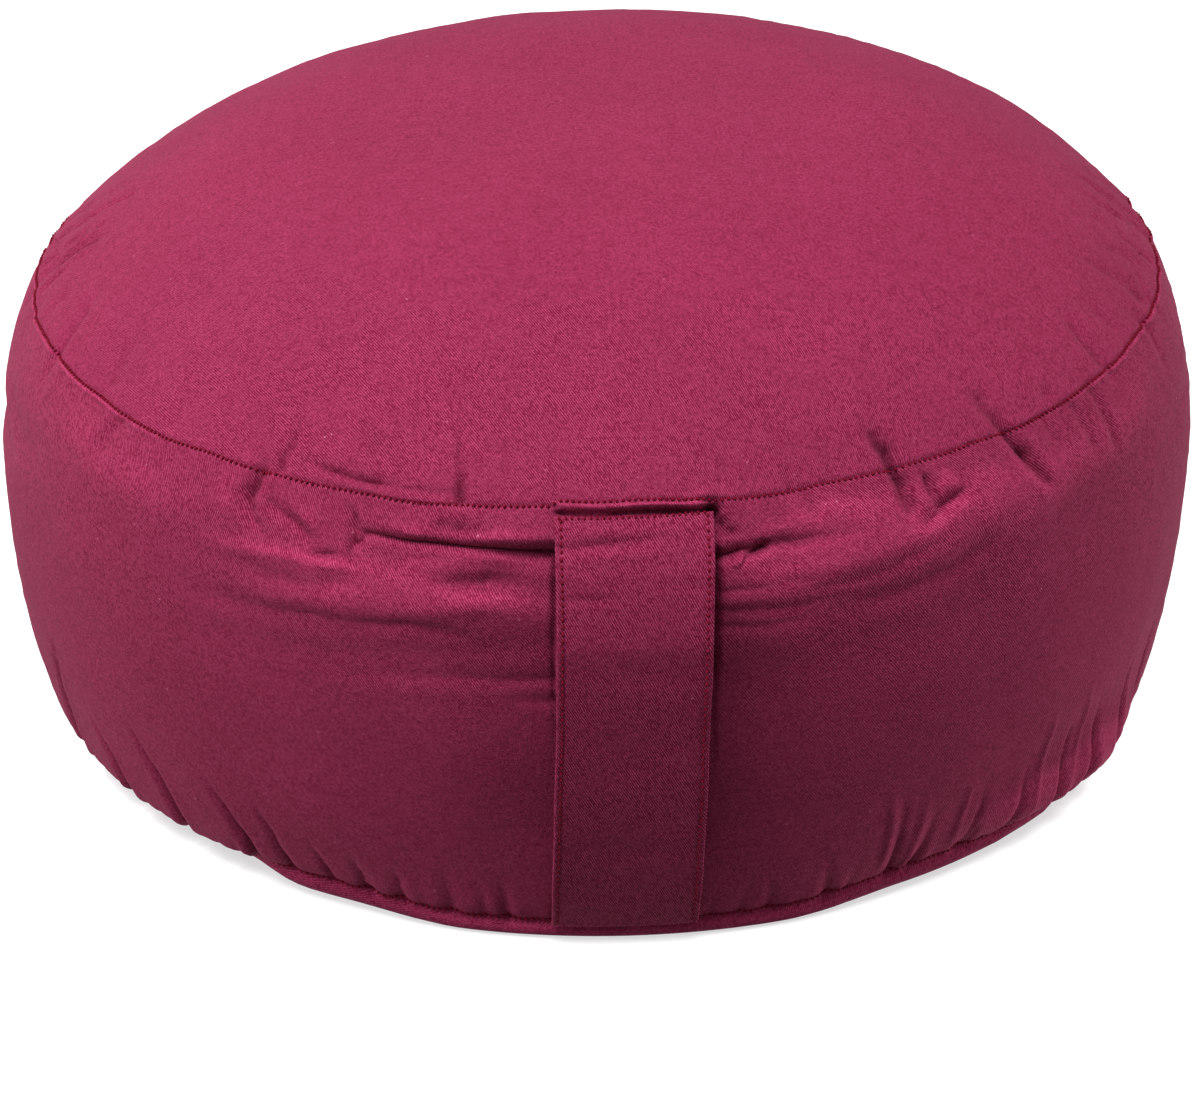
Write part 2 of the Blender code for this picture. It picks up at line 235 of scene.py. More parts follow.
# Folds of the cloth, each a trough (or, with a depth below zero, a ridge) from
# place a to place b, in degrees and mm. `sharp` is 0 for a soft hollow and 1 for a
# crease. `bow` bends its line sideways. `lap` is how far, in half widths, the cloth
# on its left (seen from a to b) hangs over it, or on its right if below zero.
# It is deepest in its middle, or at a or b, where it runs on under a seam or the strap.
Fold = namedtuple(
    "Fold",
    "azimuth_a run_a azimuth_b run_b depth half_width sharp bow lap deepest",
    defaults=(0.0, 0.0, 0.0, "mid"),
)
END = BOTTOM_RUN / MM
FRONT_ROWS = [
    # Band, left of the strap: a deep tuck, and slack creases below the seam.
    (-5, -11.6, -24.4, -9.8, 3.6, 1.6, 1, -0.6, -1.3, "a"),
    (-10, -10.7, -25, -9.5, 2.2, 1.3, 0.8, -0.3, -1),
    (-23.8, -9.9, -25.4, -13.4, 1.3, 1.1, 0.6, 0.4),
    (-5, -12.4, -13, -11.4, 1.6, 2.8, 0.3, 0, 0, "a"),
    (-6, -16, -22, -14.4, -0.7, 3, 0, 0.4, 0, "a"),
    (-4, -7.4, -24, -6.6, -1.2, 3.4),
    (-18, -6.2, -13, -6.8, 1.8, 2, 0.2, 0.2),
    (-36, 3.6, -37, -8.4, 2.3, 2, 0.3, 1, 0.4),
    (-37, -6, -34.8, -15.4, 1.5, 1.9, 0.4, -0.8, 0.3),
    (-39.8, -2, -39.2, -14, -0.8, 3.2, 0, 0.6),
    (-34.8, -6.8, -28.9, -15.2, 1.2, 1.5, 0.4, 0.5, 0.2),
    (-29.2, -18.2, -25.6, -17, 1.3, 1.2, 0.5, 0.7, 0.3),
    (-26.4, -3.2, -25, -13.6, 1.6, 1.1, 0.6, 0.8, 0.4),
    (-25.2, -12, -24.8, -19.4, 1.1, 1.2, 0.5, -0.5),
    (-31.4, -6.4, -28.6, -11, -0.7, 2.6),
    (-40.5, -22, -23, -19.8, -0.7, 1.8, 0.2, 1.6),
    (-54, 1.5, -57.6, -12, 1.1, 2.4, 0.3),
    (-42, -37, -17, -33.6, 0.4, 2.6, 0.3, 1.6, 0.4),
    (-24, -32.6, -15, -33.4, 0.9, 1.8, 0.5, 1.4, 0.3),
    (-44, -42.5, -18, -38, -0.4, 3.2, 0, 1),
    (-37, -26, -24, -21.8, 0.9, 2.6, 0.3, -1.4),
    (-17.2, -20, -10.4, -19.4, 1.5, 2.6, 0.2),
    (-20, -27.6, -8, -25.6, -0.6, 3, 0, 0.6),
    (-27, -48.4, -7, -45.4, 0.7, 3, 0.4, 0.8, 0.3, "b"),
    (-13, -50.6, -5, -52.6, 0.8, 2.2, 0.5, 0, 0, "b"),
    # The stuffed band stands out in soft pads below the seam.
    (-66, -12, -40, -14, -0.9, 8),
    (-38, -24, -2, -25, -1.6, 9),
    (-40, -40, -4, -37, 0.5, 5),
    (2, -22.5, 40, -19.5, -2.8, 11),
    (4, -31, 38, -26, 0.8, 4.5),
    (30, -16, 64, -14, -1.2, 8),
    # The band is drawn in along both edges of the strap.
    (-6.7, -14, -6.8, -66, 1.2, 0.8, 0.5, 0, 0, "a"),
    (7.5, -13, 7.3, -76, 3.2, 1.1, 0.5, 0, 0, "a"),
    # Band, right of the strap.
    (7.6, -2.4, 9.4, -9.6, 4.4, 2, 0.5, -0.4, 0.2, "a"),
    (5, -14.7, 12, -13, 4.6, 1.9, 0.9, 0.3, 1, "a"),
    (12, -12.8, 9.4, -18.6, 2.2, 1.3, 0.7, -0.8, 0.4, "a"),
    (9.2, -16.8, 10.2, -16.4, -1, 1.7, 0.1),
    (10, -8, 24, -8, -1, 4),
    (11.5, -12.8, 22, -13.6, 1, 1.9, 0.3, 0.4, 0, "a"),
    (5, -22.6, 18.6, -21.6, 0.7, 1.7, 0.4, -0.6, 0.3, "a"),
    (5, -27, 21, -28, 0.6, 1.7, 0.4, -1, 0.3, "a"),
    (5, -31.4, 17, -33, 0.6, 1.8, 0.4, -0.6, 0.3, "a"),
    (16, -24.6, 29, -20.6, 0.7, 1.8, 0.3, -1.2),
    (20, -31.4, 37, -22.4, 0.7, 2.4, 0.2, -2.2),
    (12.8, -2, 13.6, -9, 0.6, 1.6, 0.3, 0.4),
    (16.4, -1, 17.2, -9, 0.8, 1.6, 0.3, 0.4),
    (24.6, 12, 26.2, -2, 2.4, 2.4, 0.1, 0.6, 0.2),
    (25.6, 1, 26.6, -13.5, 2.5, 2.2, 0.3, 0.6, 0.3),
    (28.6, -2, 29.2, -12.5, 1.7, 1.3, 0.4, 0.3, 0.3),
    (27.4, -5, 27.8, -12.5, -0.5, 1.2, 0.1),
    (30.8, -3, 31.2, -11, -0.9, 1.8, 0, 0.3),
    (27.6, -15.8, 32.8, -10.2, 2, 1.7, 0.5, 0.9, 0.3),
    (37.8, 13, 39.4, -1, 1.8, 2.2, 0.1, 0.4),
    (39.2, 1.6, 42.2, -15.4, 2.8, 1.9, 0.5, -0.4, 0.3),
    (41.8, -13, 43, -18.6, 1.1, 1.6, 0.3, -0.2),
    (46.6, 7, 46.4, 2, 0.8, 1.4, 0.3),
    (48.7, -1, 50.2, -16, 1.1, 1.7, 0.3, 0.8),
    (52.5, -0.6, 53.6, -19, 1.3, 1.7, 0.3, 1, 0.2),
    (44.4, -2, 45.4, -10, 0.7, 1.6, 0.3),
    # Top panel, near the seam.
    (-31.6, 5.6, -27.2, 3.7, 1.4, 1, 0.5, -0.4, 0.4),
    (-28, 4, -22.6, 3.3, 1.6, 1, 0.5, -0.4, 0.4),
    (-31, 9, -23, 7.4, -0.5, 2, 0, 0.4),
    (-22.6, 3.4, -15, 3, 0.6, 1.1, 0.3, -0.3),
    (-17.2, 27, -15.6, 1, 1.8, 1.5, 0.2, 0, 0, "b"),
    (-34.2, 19, -34.2, 2, 1.6, 1.8, 0.2, 0.8, 0.3, "b"),
    (-27.6, 19, -23.4, 7, 1.1, 2.4, 0.2),
    (9.4, 14, 9.2, 3, 0.6, 2.2, 0.3),
    (15, 10, 15.4, 1, 0.6, 2, 0.2, 0, 0, "b"),
    (-48, 15, -47.4, 1, 0.5, 3, 0.1),
    (-61, 22, -60, 0, 0.8, 3, 0.2),
    (56, 19, 57, -4, 1.4, 2.6, 0.3),
    # Pleats of the top panel where the seam draws it in, at the left and at the right.
    (-102.6, 5, -95, 46, 1.3, 2, 0.3, 1, 0.3, "a"),
    (-98, 4.6, -89.6, 52, 1.7, 2.1, 0.3, 1, 0.3, "a"),
    (-93, 4.4, -86.6, 44, 1.8, 1.7, 0.3, 1.2, 0.3, "a"),
    (-90.2, 5.4, -84, 33, 1.4, 2.1, 0.3, 1, 0.3),
    (-86.4, 4.8, -83, 27, 1.5, 1.6, 0.3, 0.6, 0.3, "a"),
    (-80.2, 4.6, -79, 13, 0.8, 1.8, 0.3, 0.3),
    (97.2, 5.2, 93.4, 27, 1.3, 2.2, 0.3, -0.8, 0.3),
    (92, 4.6, 86.4, 49, 1.8, 2, 0.3, -1, 0.3, "a"),
    (87.4, 5, 83, 31, 1.4, 1.7, 0.3, -1, 0.3),
    (82, 4.4, 76.6, 41, 1.8, 2.1, 0.3, -0.8, 0.3, "a"),
    (78.6, 5, 73, 24, 1.3, 1.8, 0.3, -0.8, 0.3),
    (72, 4.6, 66, 33, 1.8, 2.6, 0.2, -0.6, 0, "a"),
    (62.8, 4.8, 60.6, 17, 1, 2.2, 0.2, -0.3),
    # Gathers above the bottom seam.
    (-61, -96, -57, END, 2.6, 2.4, 0.8, 1.6, 1, "b"),
    (-53.4, -87, -47.6, END, 3, 2.2, 0.9, 2, 1.2, "b"),
    (-42.8, -91, -38.2, END, 2.8, 2, 0.9, 1.4, 1.2, "b"),
    (-37, -96, -34.4, END, 2, 1.9, 0.8, 1, 1, "b"),
    (-31.6, -103, -29.8, END, 1.5, 1.7, 0.7, 0.6, 0.8, "b"),
    (-27, -106, -26, END, 1.5, 2, 0.5, 0.4, 0.5, "b"),
    (-22.6, -108, -22, END, 1.5, 2.1, 0.5, 0.3, 0.5, "b"),
    (-17, -104, -17.2, END, 1, 2.2, 0.4, 0, 0, "b"),
    (-12, -106, -11.6, END, 1, 2, 0.4, 0, 0, "b"),
    (13.4, -106, 13.8, END, 0.9, 2, 0.4, 0, 0, "b"),
    (19.2, -104, 19.8, END, 1.1, 2.2, 0.4, 0, 0, "b"),
    (26.4, -92, 26.8, END, 1.6, 1.8, 0.5, 1, -0.6, "b"),
    (31, -99, 29.6, END, 1.2, 1.9, 0.4, 0.6, -0.5, "b"),
    (36.6, -97, 36, END, 1.3, 1.9, 0.4, 0.4, -0.5, "b"),
    (42.6, -96, 41.4, END, 1.5, 2, 0.5, 0.5, -0.5, "b"),
    (48.8, -92, 47.8, END, 2.3, 2.1, 0.6, 0.6, -0.7, "b"),
    (54.2, -92, 53.2, END, 2.3, 2.1, 0.6, 0.6, -0.7, "b"),
    (61, -88, 59.6, END, 2.6, 2.4, 0.7, 0.6, -0.8, "b"),
    (25.2, -90, 25.4, -118, -0.7, 1.2, 0.3, 0.8),
    (29.4, -97, 28.4, -117, -0.6, 1.3, 0.3, 0.6),
    (34.6, -95, 33.8, -117, -0.6, 1.2, 0.3, 0.6),
    (45, -86, 43.4, -116, -0.8, 1.3, 0.3, 0.8),
    (51, -84, 49.8, -116, -0.7, 1.3, 0.3, 0.8),
    (38, -112, 63, -112, -4, 7),
]
FRONT_FOLDS = [Fold(*row) for row in FRONT_ROWS]


def uneven_steps(draw, start, end, least, most):
    """Azimuths from start to end. Each next step is drawn after what is drawn at the last one."""
    azimuth = start
    while azimuth < end:
        yield azimuth
        azimuth += draw.uniform(least, most)


def spread(draw, *spans):
    """One even draw from each span."""
    return [draw.uniform(least, most) for least, most in spans]


def chance_folds(draw, start, end):
    """Folds between two azimuths that the photograph does not show: the same kinds, uneven."""
    folds = []
    for azimuth in uneven_steps(draw, start, end, 4.4, 8.0):
        lean, reach, half, lap = spread(draw, (-3.5, 3.5), (14.0, 42.0), (1.8, 2.6), (-1.2, 1.2))
        depth = 0.9 + 0.06 * reach
        folds.append(Fold(azimuth + lean, END + reach, azimuth, END, depth, half, 0.7, 1.2 * lap, lap, "b"))
    for azimuth in uneven_steps(draw, start, end, 6.0, 15.0):
        up, down, depth = spread(draw, (2.0, 30.0), (5.0, 22.0), (0.6, 1.6))
        lean, half, sharp = spread(draw, (-3.0, 3.0), (1.8, 3.2), (0.3, 0.8))
        folds.append(Fold(azimuth, up, azimuth + lean, -down, depth, half, sharp, lean, 0.4))
    for azimuth in uneven_steps(draw, start, end, 9.0, 22.0):
        run, length, drop = spread(draw, (-46.0, -12.0), (8.0, 24.0), (-6.0, 6.0))
        depth, half = spread(draw, (0.4, 1.3), (2.4, 5.0))
        folds.append(Fold(azimuth, run, azimuth + length, run + drop, depth, half, 0.3, drop * 0.3, 0.3))
    return folds


def small_puckers(draw):
    """Short puckers that the needle leaves across both seams, all the way round."""
    folds = []
    for azimuth in uneven_steps(draw, 0.0, 360.0, 1.1, 3.4):
        up, down, depth, lean = spread(draw, (1.0, 7.0), (1.5, 8.0), (0.05, 0.32), (-0.8, 0.8))
        folds.append(Fold(azimuth, up, azimuth + lean, -down, depth, 1.3, 0.4))
    for azimuth in uneven_steps(draw, 0.0, 360.0, 1.4, 3.6):
        reach, depth, lean = spread(draw, (4.0, 14.0), (0.1, 0.7), (-0.8, 0.8))
        folds.append(Fold(azimuth + lean, END + reach, azimuth, END, depth, 1.5, 0.5, deepest="b"))
    return folds


draw = random.Random(27)
FOLDS = FRONT_FOLDS + chance_folds(draw, 66.0, 294.0) + small_puckers(draw)


def add_fold(fold, azimuth, run, moves):
    """Adds one fold to the moves of points, in metres: inward, and along the cloth right and up."""
    way_u = (fold.azimuth_b - fold.azimuth_a) * DEGREE
    way_v = (fold.run_b - fold.run_a) * MM
    length = math.hypot(way_u, way_v)
    way_u /= length
    way_v /= length
    half = fold.half_width * MM
    u = from_front(azimuth - fold.azimuth_a) * DEGREE
    v = run - fold.run_a * MM
    reach = length + 6.0 * half
    near = np.flatnonzero((np.abs(u) < reach) & (np.abs(v) < reach))
    u = u[near]
    v = v[near]
    along = (u * way_u + v * way_v) / length
    inside = np.clip(along, 0.0, 1.0)
    phase = 1.7 * fold.azimuth_a
    wave = 0.08 * np.sin(7.0 * inside + phase) + 0.05 * np.sin(17.0 * inside - 2.0 * phase)
    across = v * way_u - u * way_v - fold.bow * MM * np.sin(math.pi * inside) - 1.6 * half * wave
    beyond = (along - inside) * length
    if fold.deepest == "mid":
        strength = np.sin(math.pi * (0.05 + 0.9 * inside)) ** 0.8
    else:
        away = inside if fold.deepest == "a" else 1.0 - inside
        strength = 1.0 - 0.98 * away**1.3
        half = half * (1.0 - 0.55 * away)
    strength = strength * (1.0 + 1.2 * wave)
    far = np.sqrt((across / half) ** 2 + (beyond / half) ** 2)
    crease = np.exp(-1.7 * (np.sqrt(far * far + 0.01) - 0.1))
    trough = (1.0 - fold.sharp) * np.exp(-far * far) + fold.sharp * crease
    shoulder = 0.14 * np.exp(-(((far - 2.2) / 0.8) ** 2))
    moves[0, near] += fold.depth * MM * strength * (trough - shoulder)
    over = np.maximum(np.sign(fold.lap) * across, 0.0) / half
    pull = fold.lap * half * strength * (1.0 - np.exp(-1.7 * over)) * np.exp(-far / 1.6)
    moves[1, near] += pull * way_v
    moves[2, near] -= pull * way_u


# Lines along a seam, in mm: how deep (a roll stands up, below zero), how far up the cloth from the seam, and
# how wide. In the painted shading, below zero is painted paler, partly as wear and partly as painted
# highlight, and above zero is painted shade.
SeamLine = namedtuple("SeamLine", "depth place width")
# Sewn seams: a narrow valley in a wider hollow, with the top panel's edge rolled beside it.
TOP_SEAM = [SeamLine(0.32, 0.0, 0.55), SeamLine(0.25, 0.0, 3.0), SeamLine(-0.18, 1.6, 1.0)]
BOTTOM_SEAM = [SeamLine(0.6, 0.0, 0.7), SeamLine(0.5, 0.0, 2.6)]
# Towards both sides the band's edge rolls out beside the seam.
SIDE_ROLL = [SeamLine(-0.5, -0.9, 0.7)]
# The rolled edge's paler line: partly wear, partly painted highlight.
SIDE_ROLL_WEAR_AND_HIGHLIGHT = [SeamLine(-1.4, -0.9, 0.7)]
SIDE_ROLL_FROM = 44.0
SIDE_ROLL_FULL = 56.0
# Over the strap's sewn end the top panel's edge stands up as a welt, pinched above, with a recess below it.
# The welt's lip is painted paler, partly as wear and partly as painted highlight, and the recess is darkened
# with painted shade that varies along it. All this drops toward the right.
WELT = [SeamLine(-0.8, 0.0, 0.65), SeamLine(2.0, -2.0, 0.75), SeamLine(0.32, 1.2, 0.4)]
WELT_WEAR_AND_HIGHLIGHT = [SeamLine(-1.4, 0.1, 0.6)]
RECESS_SHADE = [SeamLine(3.2, -2.0, 0.8)]
RECESS_SHADE_WAVES = [SeamLine(1.8, -2.0, 0.8)]
WELT_FROM = -6.6
WELT_TO = 7.8
WELT_DROP = 0.07 * MM
WELT_DROP_FROM = -3.0
# The band lies flatter behind the strap.
FLAT_HALF_ANGLE = 18.0
FLAT_DEPTH = 3.5 * MM


def across_seam(lines, place):
    """The depth that seam lines add up to, at places up the cloth from the seam."""
    return sum(line.depth * MM * bell((place - line.place * MM) / (line.width * MM)) for line in lines)


def over_strap(azimuth, outside, inside):
    """1 over the strap's sewn end, fading out from so many degrees inside its edges to outside."""
    left = smooth_step(WELT_FROM - outside, WELT_FROM + inside, azimuth)
    return left * smooth_step(WELT_TO + outside, WELT_TO - inside, azimuth)


# Slow unevenness of the filling: waves through the cushion in many directions.
LUMPS = []
for _ in range(30):
    way = Vector([draw.gauss(0.0, 1.0) for _ in range(3)]).normalized() * (TURN / draw.uniform(0.022, 0.090))
    LUMPS.append((way, draw.uniform(0.0, TURN), draw.uniform(0.02, 0.08) * MM))


def seam_wander(azimuth):
    """How far the top seam strays from its round, in metres along the cloth."""
    a = np.radians(azimuth)
    waves = ((5, 1.0, 0.35), (11, 2.2, 0.30), (23, 0.0, 0.22), (41, 0.7, 0.12))
    return MM * sum(size * np.sin(count * a + phase) for count, phase, size in waves)


# The panels were cut larger than the seams that hold them, so the stuffed cloth buckles
# beside each seam. This is simulated on a coarse skin: pressure inside, both seams held,
# and cloth that is a few per cent too large near them.
SIM_COLUMNS = 300
SIM_ROW = 4.2
SIM_FRAMES = 26
SIM_CAP = 2.4 * MM
SIM_UNEVEN = 0.12 * MM
SIM_AT_FRONT = 0.40
SIM_CLOTH = {
    "quality": 6,
    "mass": 0.25,
    "tension_stiffness": 20.0,
    "compression_stiffness": 20.0,
    "shear_stiffness": 8.0,
    "bending_stiffness": 0.35,
    "air_damping": 2.0,
    "vertex_group_mass": "held",
    "pin_stiffness": 1.0,
    "vertex_group_shrink": "large",
    "shrink_min": 0.0,
    "shrink_max": -0.055,
    "use_pressure": True,
    "uniform_pressure_force": 4.0,
}
LEAST_HEIGHT = 0.1 * MM


def simulated_moves():
    """Runs of the coarse skin's rows, and how far its points settled inward, in metres."""
    crown_rows = np.linspace(CROWN_RUN - 5.0 * MM, 0.0, round(CROWN_RUN / MM / SIM_ROW))
    band_rows = np.linspace(0.0, BOTTOM_RUN, round(-END / SIM_ROW))[1:]
    foot_rows = BOTTOM_RUN - np.array([3.0, 8.0, 30.0, 80.0]) * MM
    runs = np.concatenate([crown_rows, band_rows, foot_rows])
    azimuth = np.arange(SIM_COLUMNS) * 360.0 / SIM_COLUMNS
    grid_run, grid_azimuth = (values.ravel() for values in np.meshgrid(runs, azimuth, indexing="ij"))
    radius, height, out_r, out_z = outline_at(grid_azimuth, grid_run)
    a = np.radians(grid_azimuth)
    outward = turned(out_r, a, out_z)
    rest = turned(radius, a, height)
    chance = np.random.default_rng(5)
    start = rest + outward * chance.normal(0.0, SIM_UNEVEN, len(rest))[:, None]
    poles = [(0.0, 0.0, float(rest[0, 2])), (0.0, 0.0, LEAST_HEIGHT)]
    faces = ring_faces(len(runs), SIM_COLUMNS)
    last = (len(runs) - 1) * SIM_COLUMNS
    for i in range(SIM_COLUMNS):
        k = (i + 1) % SIM_COLUMNS
        faces.append((len(rest), i, k))
        faces.append((len(rest) + 1, last + k, last + i))
    mesh = bpy.data.meshes.new("coarse_skin")
    mesh.from_pydata([*start.tolist(), *poles], [], faces)
    skin = new_object("coarse_skin", mesh)
    held = skin.vertex_groups.new(name="held")
    large = skin.vertex_groups.new(name="large")
    seam = np.minimum(np.abs(grid_run), np.abs(grid_run - BOTTOM_RUN))
    still = (seam < 0.5 * MM) | (grid_run < BOTTOM_RUN) | (grid_run > CROWN_RUN - 12.0 * MM)
    held.add([*np.flatnonzero(still).tolist(), len(rest), len(rest) + 1], 1.0, "REPLACE")
    excess = smooth_step(46.0 * MM, 5.0 * MM, seam)
    for index in np.flatnonzero(excess > 0.01):
        large.add([int(index)], float(excess[index]), "REPLACE")
    cloth = skin.modifiers.new("cloth", "CLOTH")
    for name, value in SIM_CLOTH.items():
        setattr(cloth.settings, name, value)
    cloth.settings.effector_weights.gravity = 0.0
    cloth.point_cache.frame_start = 1
    cloth.point_cache.frame_end = SIM_FRAMES
    scene = bpy.context.scene
    for frame_number in range(1, SIM_FRAMES + 1):
        scene.frame_set(frame_number)
    settled = skin.evaluated_get(bpy.context.evaluated_depsgraph_get()).to_mesh()
    places = read(settled.vertices, "co", size=3).reshape(-1, 3)[: len(rest)]
    bpy.data.objects.remove(skin)
    scene.frame_set(1)
    moved = ((places - rest) * outward).sum(1).reshape(len(runs), SIM_COLUMNS)
    # The even swelling of each row stays out: its turned form is the measured one.
    moved -= moved.mean(1, keepdims=True)
    return runs, -SIM_CAP * np.tanh(moved / SIM_CAP)


SIM_RUNS, SIM_MOVES = simulated_moves()


def settled_inward(azimuth, run):
    """The simulated moves at azimuths and runs, between the coarse skin's points."""
    row = np.interp(-run, -SIM_RUNS, np.arange(len(SIM_RUNS)))
    column = (azimuth % 360.0) * SIM_COLUMNS / 360.0
    j = np.minimum(row.astype(int), len(SIM_RUNS) - 2)
    i = column.astype(int)
    t = smooth_step(0.0, 1.0, row - j)
    q = smooth_step(0.0, 1.0, column - i)
    here, ahead = i % SIM_COLUMNS, (i + 1) % SIM_COLUMNS
    upper, lower = (SIM_MOVES[k, here] * (1.0 - q) + SIM_MOVES[k, ahead] * q for k in (j, j + 1))
    around = np.abs(from_front(azimuth))
    share = SIM_AT_FRONT + (1.0 - SIM_AT_FRONT) * smooth_step(55.0, 75.0, around)
    share = share * smooth_step(8.0, 16.0, around)
    share = share * smooth_step(CROWN_RUN - 25.0 * MM, CROWN_RUN - 75.0 * MM, run)
    return (upper * (1.0 - t) + lower * t) * share


def cloth_moves(azimuth, run):
    """How the seams, the folds and the filling move points of the outline: inward, right and up."""
    above = run - BOTTOM_RUN
    moves = np.zeros((3, len(azimuth)))
    for fold in FOLDS:
        add_fold(fold, azimuth, run, moves)
    moves *= smooth_step(-7.0 * MM, 1.0 * MM, above)
    # The fold depths are kept to steer the twill's colour: painted shade in troughs, and paler colour on
    # ridges and pads, partly wear and partly painted highlight.
    folds = moves[0].copy()
    moves[0] += settled_inward(azimuth, run)
    moves[0] += across_seam(TOP_SEAM, run)
    moves[0] += across_seam(BOTTOM_SEAM, above) * (1.0 - foot_shares(azimuth)[2])
    aside = np.minimum(np.abs(azimuth) / FLAT_HALF_ANGLE, 1.0)
    flat = FLAT_DEPTH * (1.0 - aside**2) ** 2
    moves[0] += flat * smooth_step(-2.0 * MM, -16.0 * MM, run) * smooth_step(0.0, 30.0 * MM, above)
    rolled = smooth_step(SIDE_ROLL_FROM, SIDE_ROLL_FULL, np.abs(azimuth))
    moves[0] += rolled * across_seam(SIDE_ROLL, run)
    # Painted highlight, partly wear, along the rolled edge: it only makes the cloth's colour paler.
    folds += rolled * across_seam(SIDE_ROLL_WEAR_AND_HIGHLIGHT, run)
    sewn = over_strap(azimuth, 0.7, 0.5)
    level = run + WELT_DROP * (azimuth - WELT_DROP_FROM)
    moves[0] += sewn * across_seam(WELT, level)
    # Painted marks only: the welt's lip paler (wear and painted highlight), the recess below darker (painted
    # shade).
    folds += sewn * across_seam(WELT_WEAR_AND_HIGHLIGHT + RECESS_SHADE, level)
    folds += sewn * across_seam(RECESS_SHADE_WAVES, level) * np.sin(0.45 * azimuth)
    return moves, folds


def skin_points(azimuth, run, lift=0.0):
    """Points of the skin at azimuths and runs, `lift` proud of it, and how much each lies in a fold, with
    the marks of painted shade and highlight.
    """
    moves, folds = cloth_moves(azimuth, run)
    above = run - BOTTOM_RUN
    moved_run = run + moves[2] + seam_wander(azimuth) * bell(run / (14.0 * MM))
    radius, height, out_r, out_z = outline_at(azimuth, moved_run)
    a = np.radians(azimuth) + moves[1] / CLOTH_RADIUS
    places = turned(radius, a, height)
    filling = sum(size * np.sin(places @ way + phase) for way, phase, size in LUMPS)
    inward = moves[0] - lift - filling * smooth_step(0.0, 10.0 * MM, above)
    inward *= smooth_step(-6.0 * MM, -2.0 * MM, above)
    radius = radius - inward * out_r
    height = np.maximum(height - inward * out_z, LEAST_HEIGHT)
    points = turned(radius, a, height)
    points[:, 2] += SEAM_SLOPE * points[:, 0] * height / TOP_SEAM_HEIGHT * smooth_step(0.0, 30.0 * MM, above)
    return points, folds


def lay_cloth(mesh, weave, crease):
    """Tells the twill where each corner lies in the flat cloth, and how deep in a fold each point is, which
    the twill turns into painted shade and painted highlight.
    """
    for name, kind, domain, field, values in (
        ("weave", "FLOAT_VECTOR", "CORNER", "vector", weave),
        ("crease", "FLOAT", "POINT", "value", crease),
    ):
        attribute = mesh.attributes.new(name, kind, domain)
        attribute.data.foreach_set(field, np.asarray(values, np.float32).ravel())


def new_piece(name, points, faces, material):
    """A mesh object of the part, shaded smooth, riding on the part's one body."""
    mesh = bpy.data.meshes.new(name)
    mesh.from_pydata(np.asarray(points).tolist(), [], faces)
    mesh.shade_smooth()
    mesh.materials.append(material)
    piece = new_object(name, mesh)
    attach(piece, "root")
    return piece


def both_ways(operation):
    """An operator's method and the method of its reflected form."""
    return (
        lambda wire, other: wire.math(operation, wire, other),
        lambda wire, other: wire.math(operation, other, wire),
    )


class Wire:
    """A shader socket. Arithmetic on it adds Math nodes to its node tree."""

    def __init__(self, tree, socket):
        self.tree = tree
        self.socket = socket

    def node(self, kind, settings=None, **inputs):
        """Adds a node: its settings first, then its inputs' values or links, by name or by i0, i1."""
        node = self.tree.nodes.new(kind)
        for key, value in (settings or {}).items():
            setattr(node, key, value)
        for key, value in inputs.items():
            number = key[0] == "i" and key[1:].isdigit()
            socket = node.inputs[int(key[1:])] if number else node.inputs[key.replace("_", " ")]
            if isinstance(value, Wire):
                self.tree.links.new(value.socket, socket)
            else:
                socket.default_value = value
        return node

    def out(self, kind, settings=None, output=0, **inputs):
        return Wire(self.tree, self.node(kind, settings, **inputs).outputs[output])

    def math(self, operation, *values):
        inputs = {f"i{place}": value for place, value in enumerate(values)}
        return self.out("ShaderNodeMath", {"operation": operation}, **inputs)

    __add__, __radd__ = both_ways("ADD")
    __sub__, __rsub__ = both_ways("SUBTRACT")
    __mul__, __rmul__ = both_ways("MULTIPLY")
    __truediv__, __rtruediv__ = both_ways("DIVIDE")

    def step(self, low, high, to_low=0.0, to_high=1.0):
        """This value taken smoothly from low..high to to_low..to_high."""
        settings = {"interpolation_type": "SMOOTHSTEP"}
        return self.out("ShaderNodeMapRange", settings, i0=self, i1=low, i2=high, i3=to_low, i4=to_high)

    def mix(self, first, second):
        """The colour between two colours, by this value."""
        settings = {"data_type": "RGBA", "clamp_factor": True}
        return self.out("ShaderNodeMix", settings, 2, i0=self, i6=first, i7=second)

    def tint(self, colour):
        """This value as a grey, times a colour."""
        return self.out("ShaderNodeVectorMath", {"operation": "SCALE"}, i0=colour, Scale=self)

    def parts(self):
        """The X, Y and Z of this vector."""
        return [Wire(self.tree, part) for part in self.node("ShaderNodeSeparateXYZ", i0=self).outputs]

    def noise(self, scale, detail, dimensions="3D"):
        """Noise at this place."""
        settings = {"noise_dimensions": dimensions}
        return self.out("ShaderNodeTexNoise", settings, Vector=self, Scale=scale, Detail=detail)

    def bump(self, strength, distance=1.0):
        """The normal of a surface with this relief."""
        return self.out("ShaderNodeBump", Strength=strength, Distance=distance, Height=self)


def new_material(name):
    material = bpy.data.materials.new(name)
    material.use_nodes = True
    material.node_tree.nodes.clear()
    return material, Wire(material.node_tree, None)


def finish_material(material, start, normal, base_colour, roughness, **fixed):
    """The surface shader, with its constant sockets set by name."""
    surface = {"Base_Color": base_colour, "Roughness": roughness, "Normal": normal, **fixed}
    start.node("ShaderNodeOutputMaterial", Surface=start.out("ShaderNodeBsdfPrincipled", **surface))
    return material


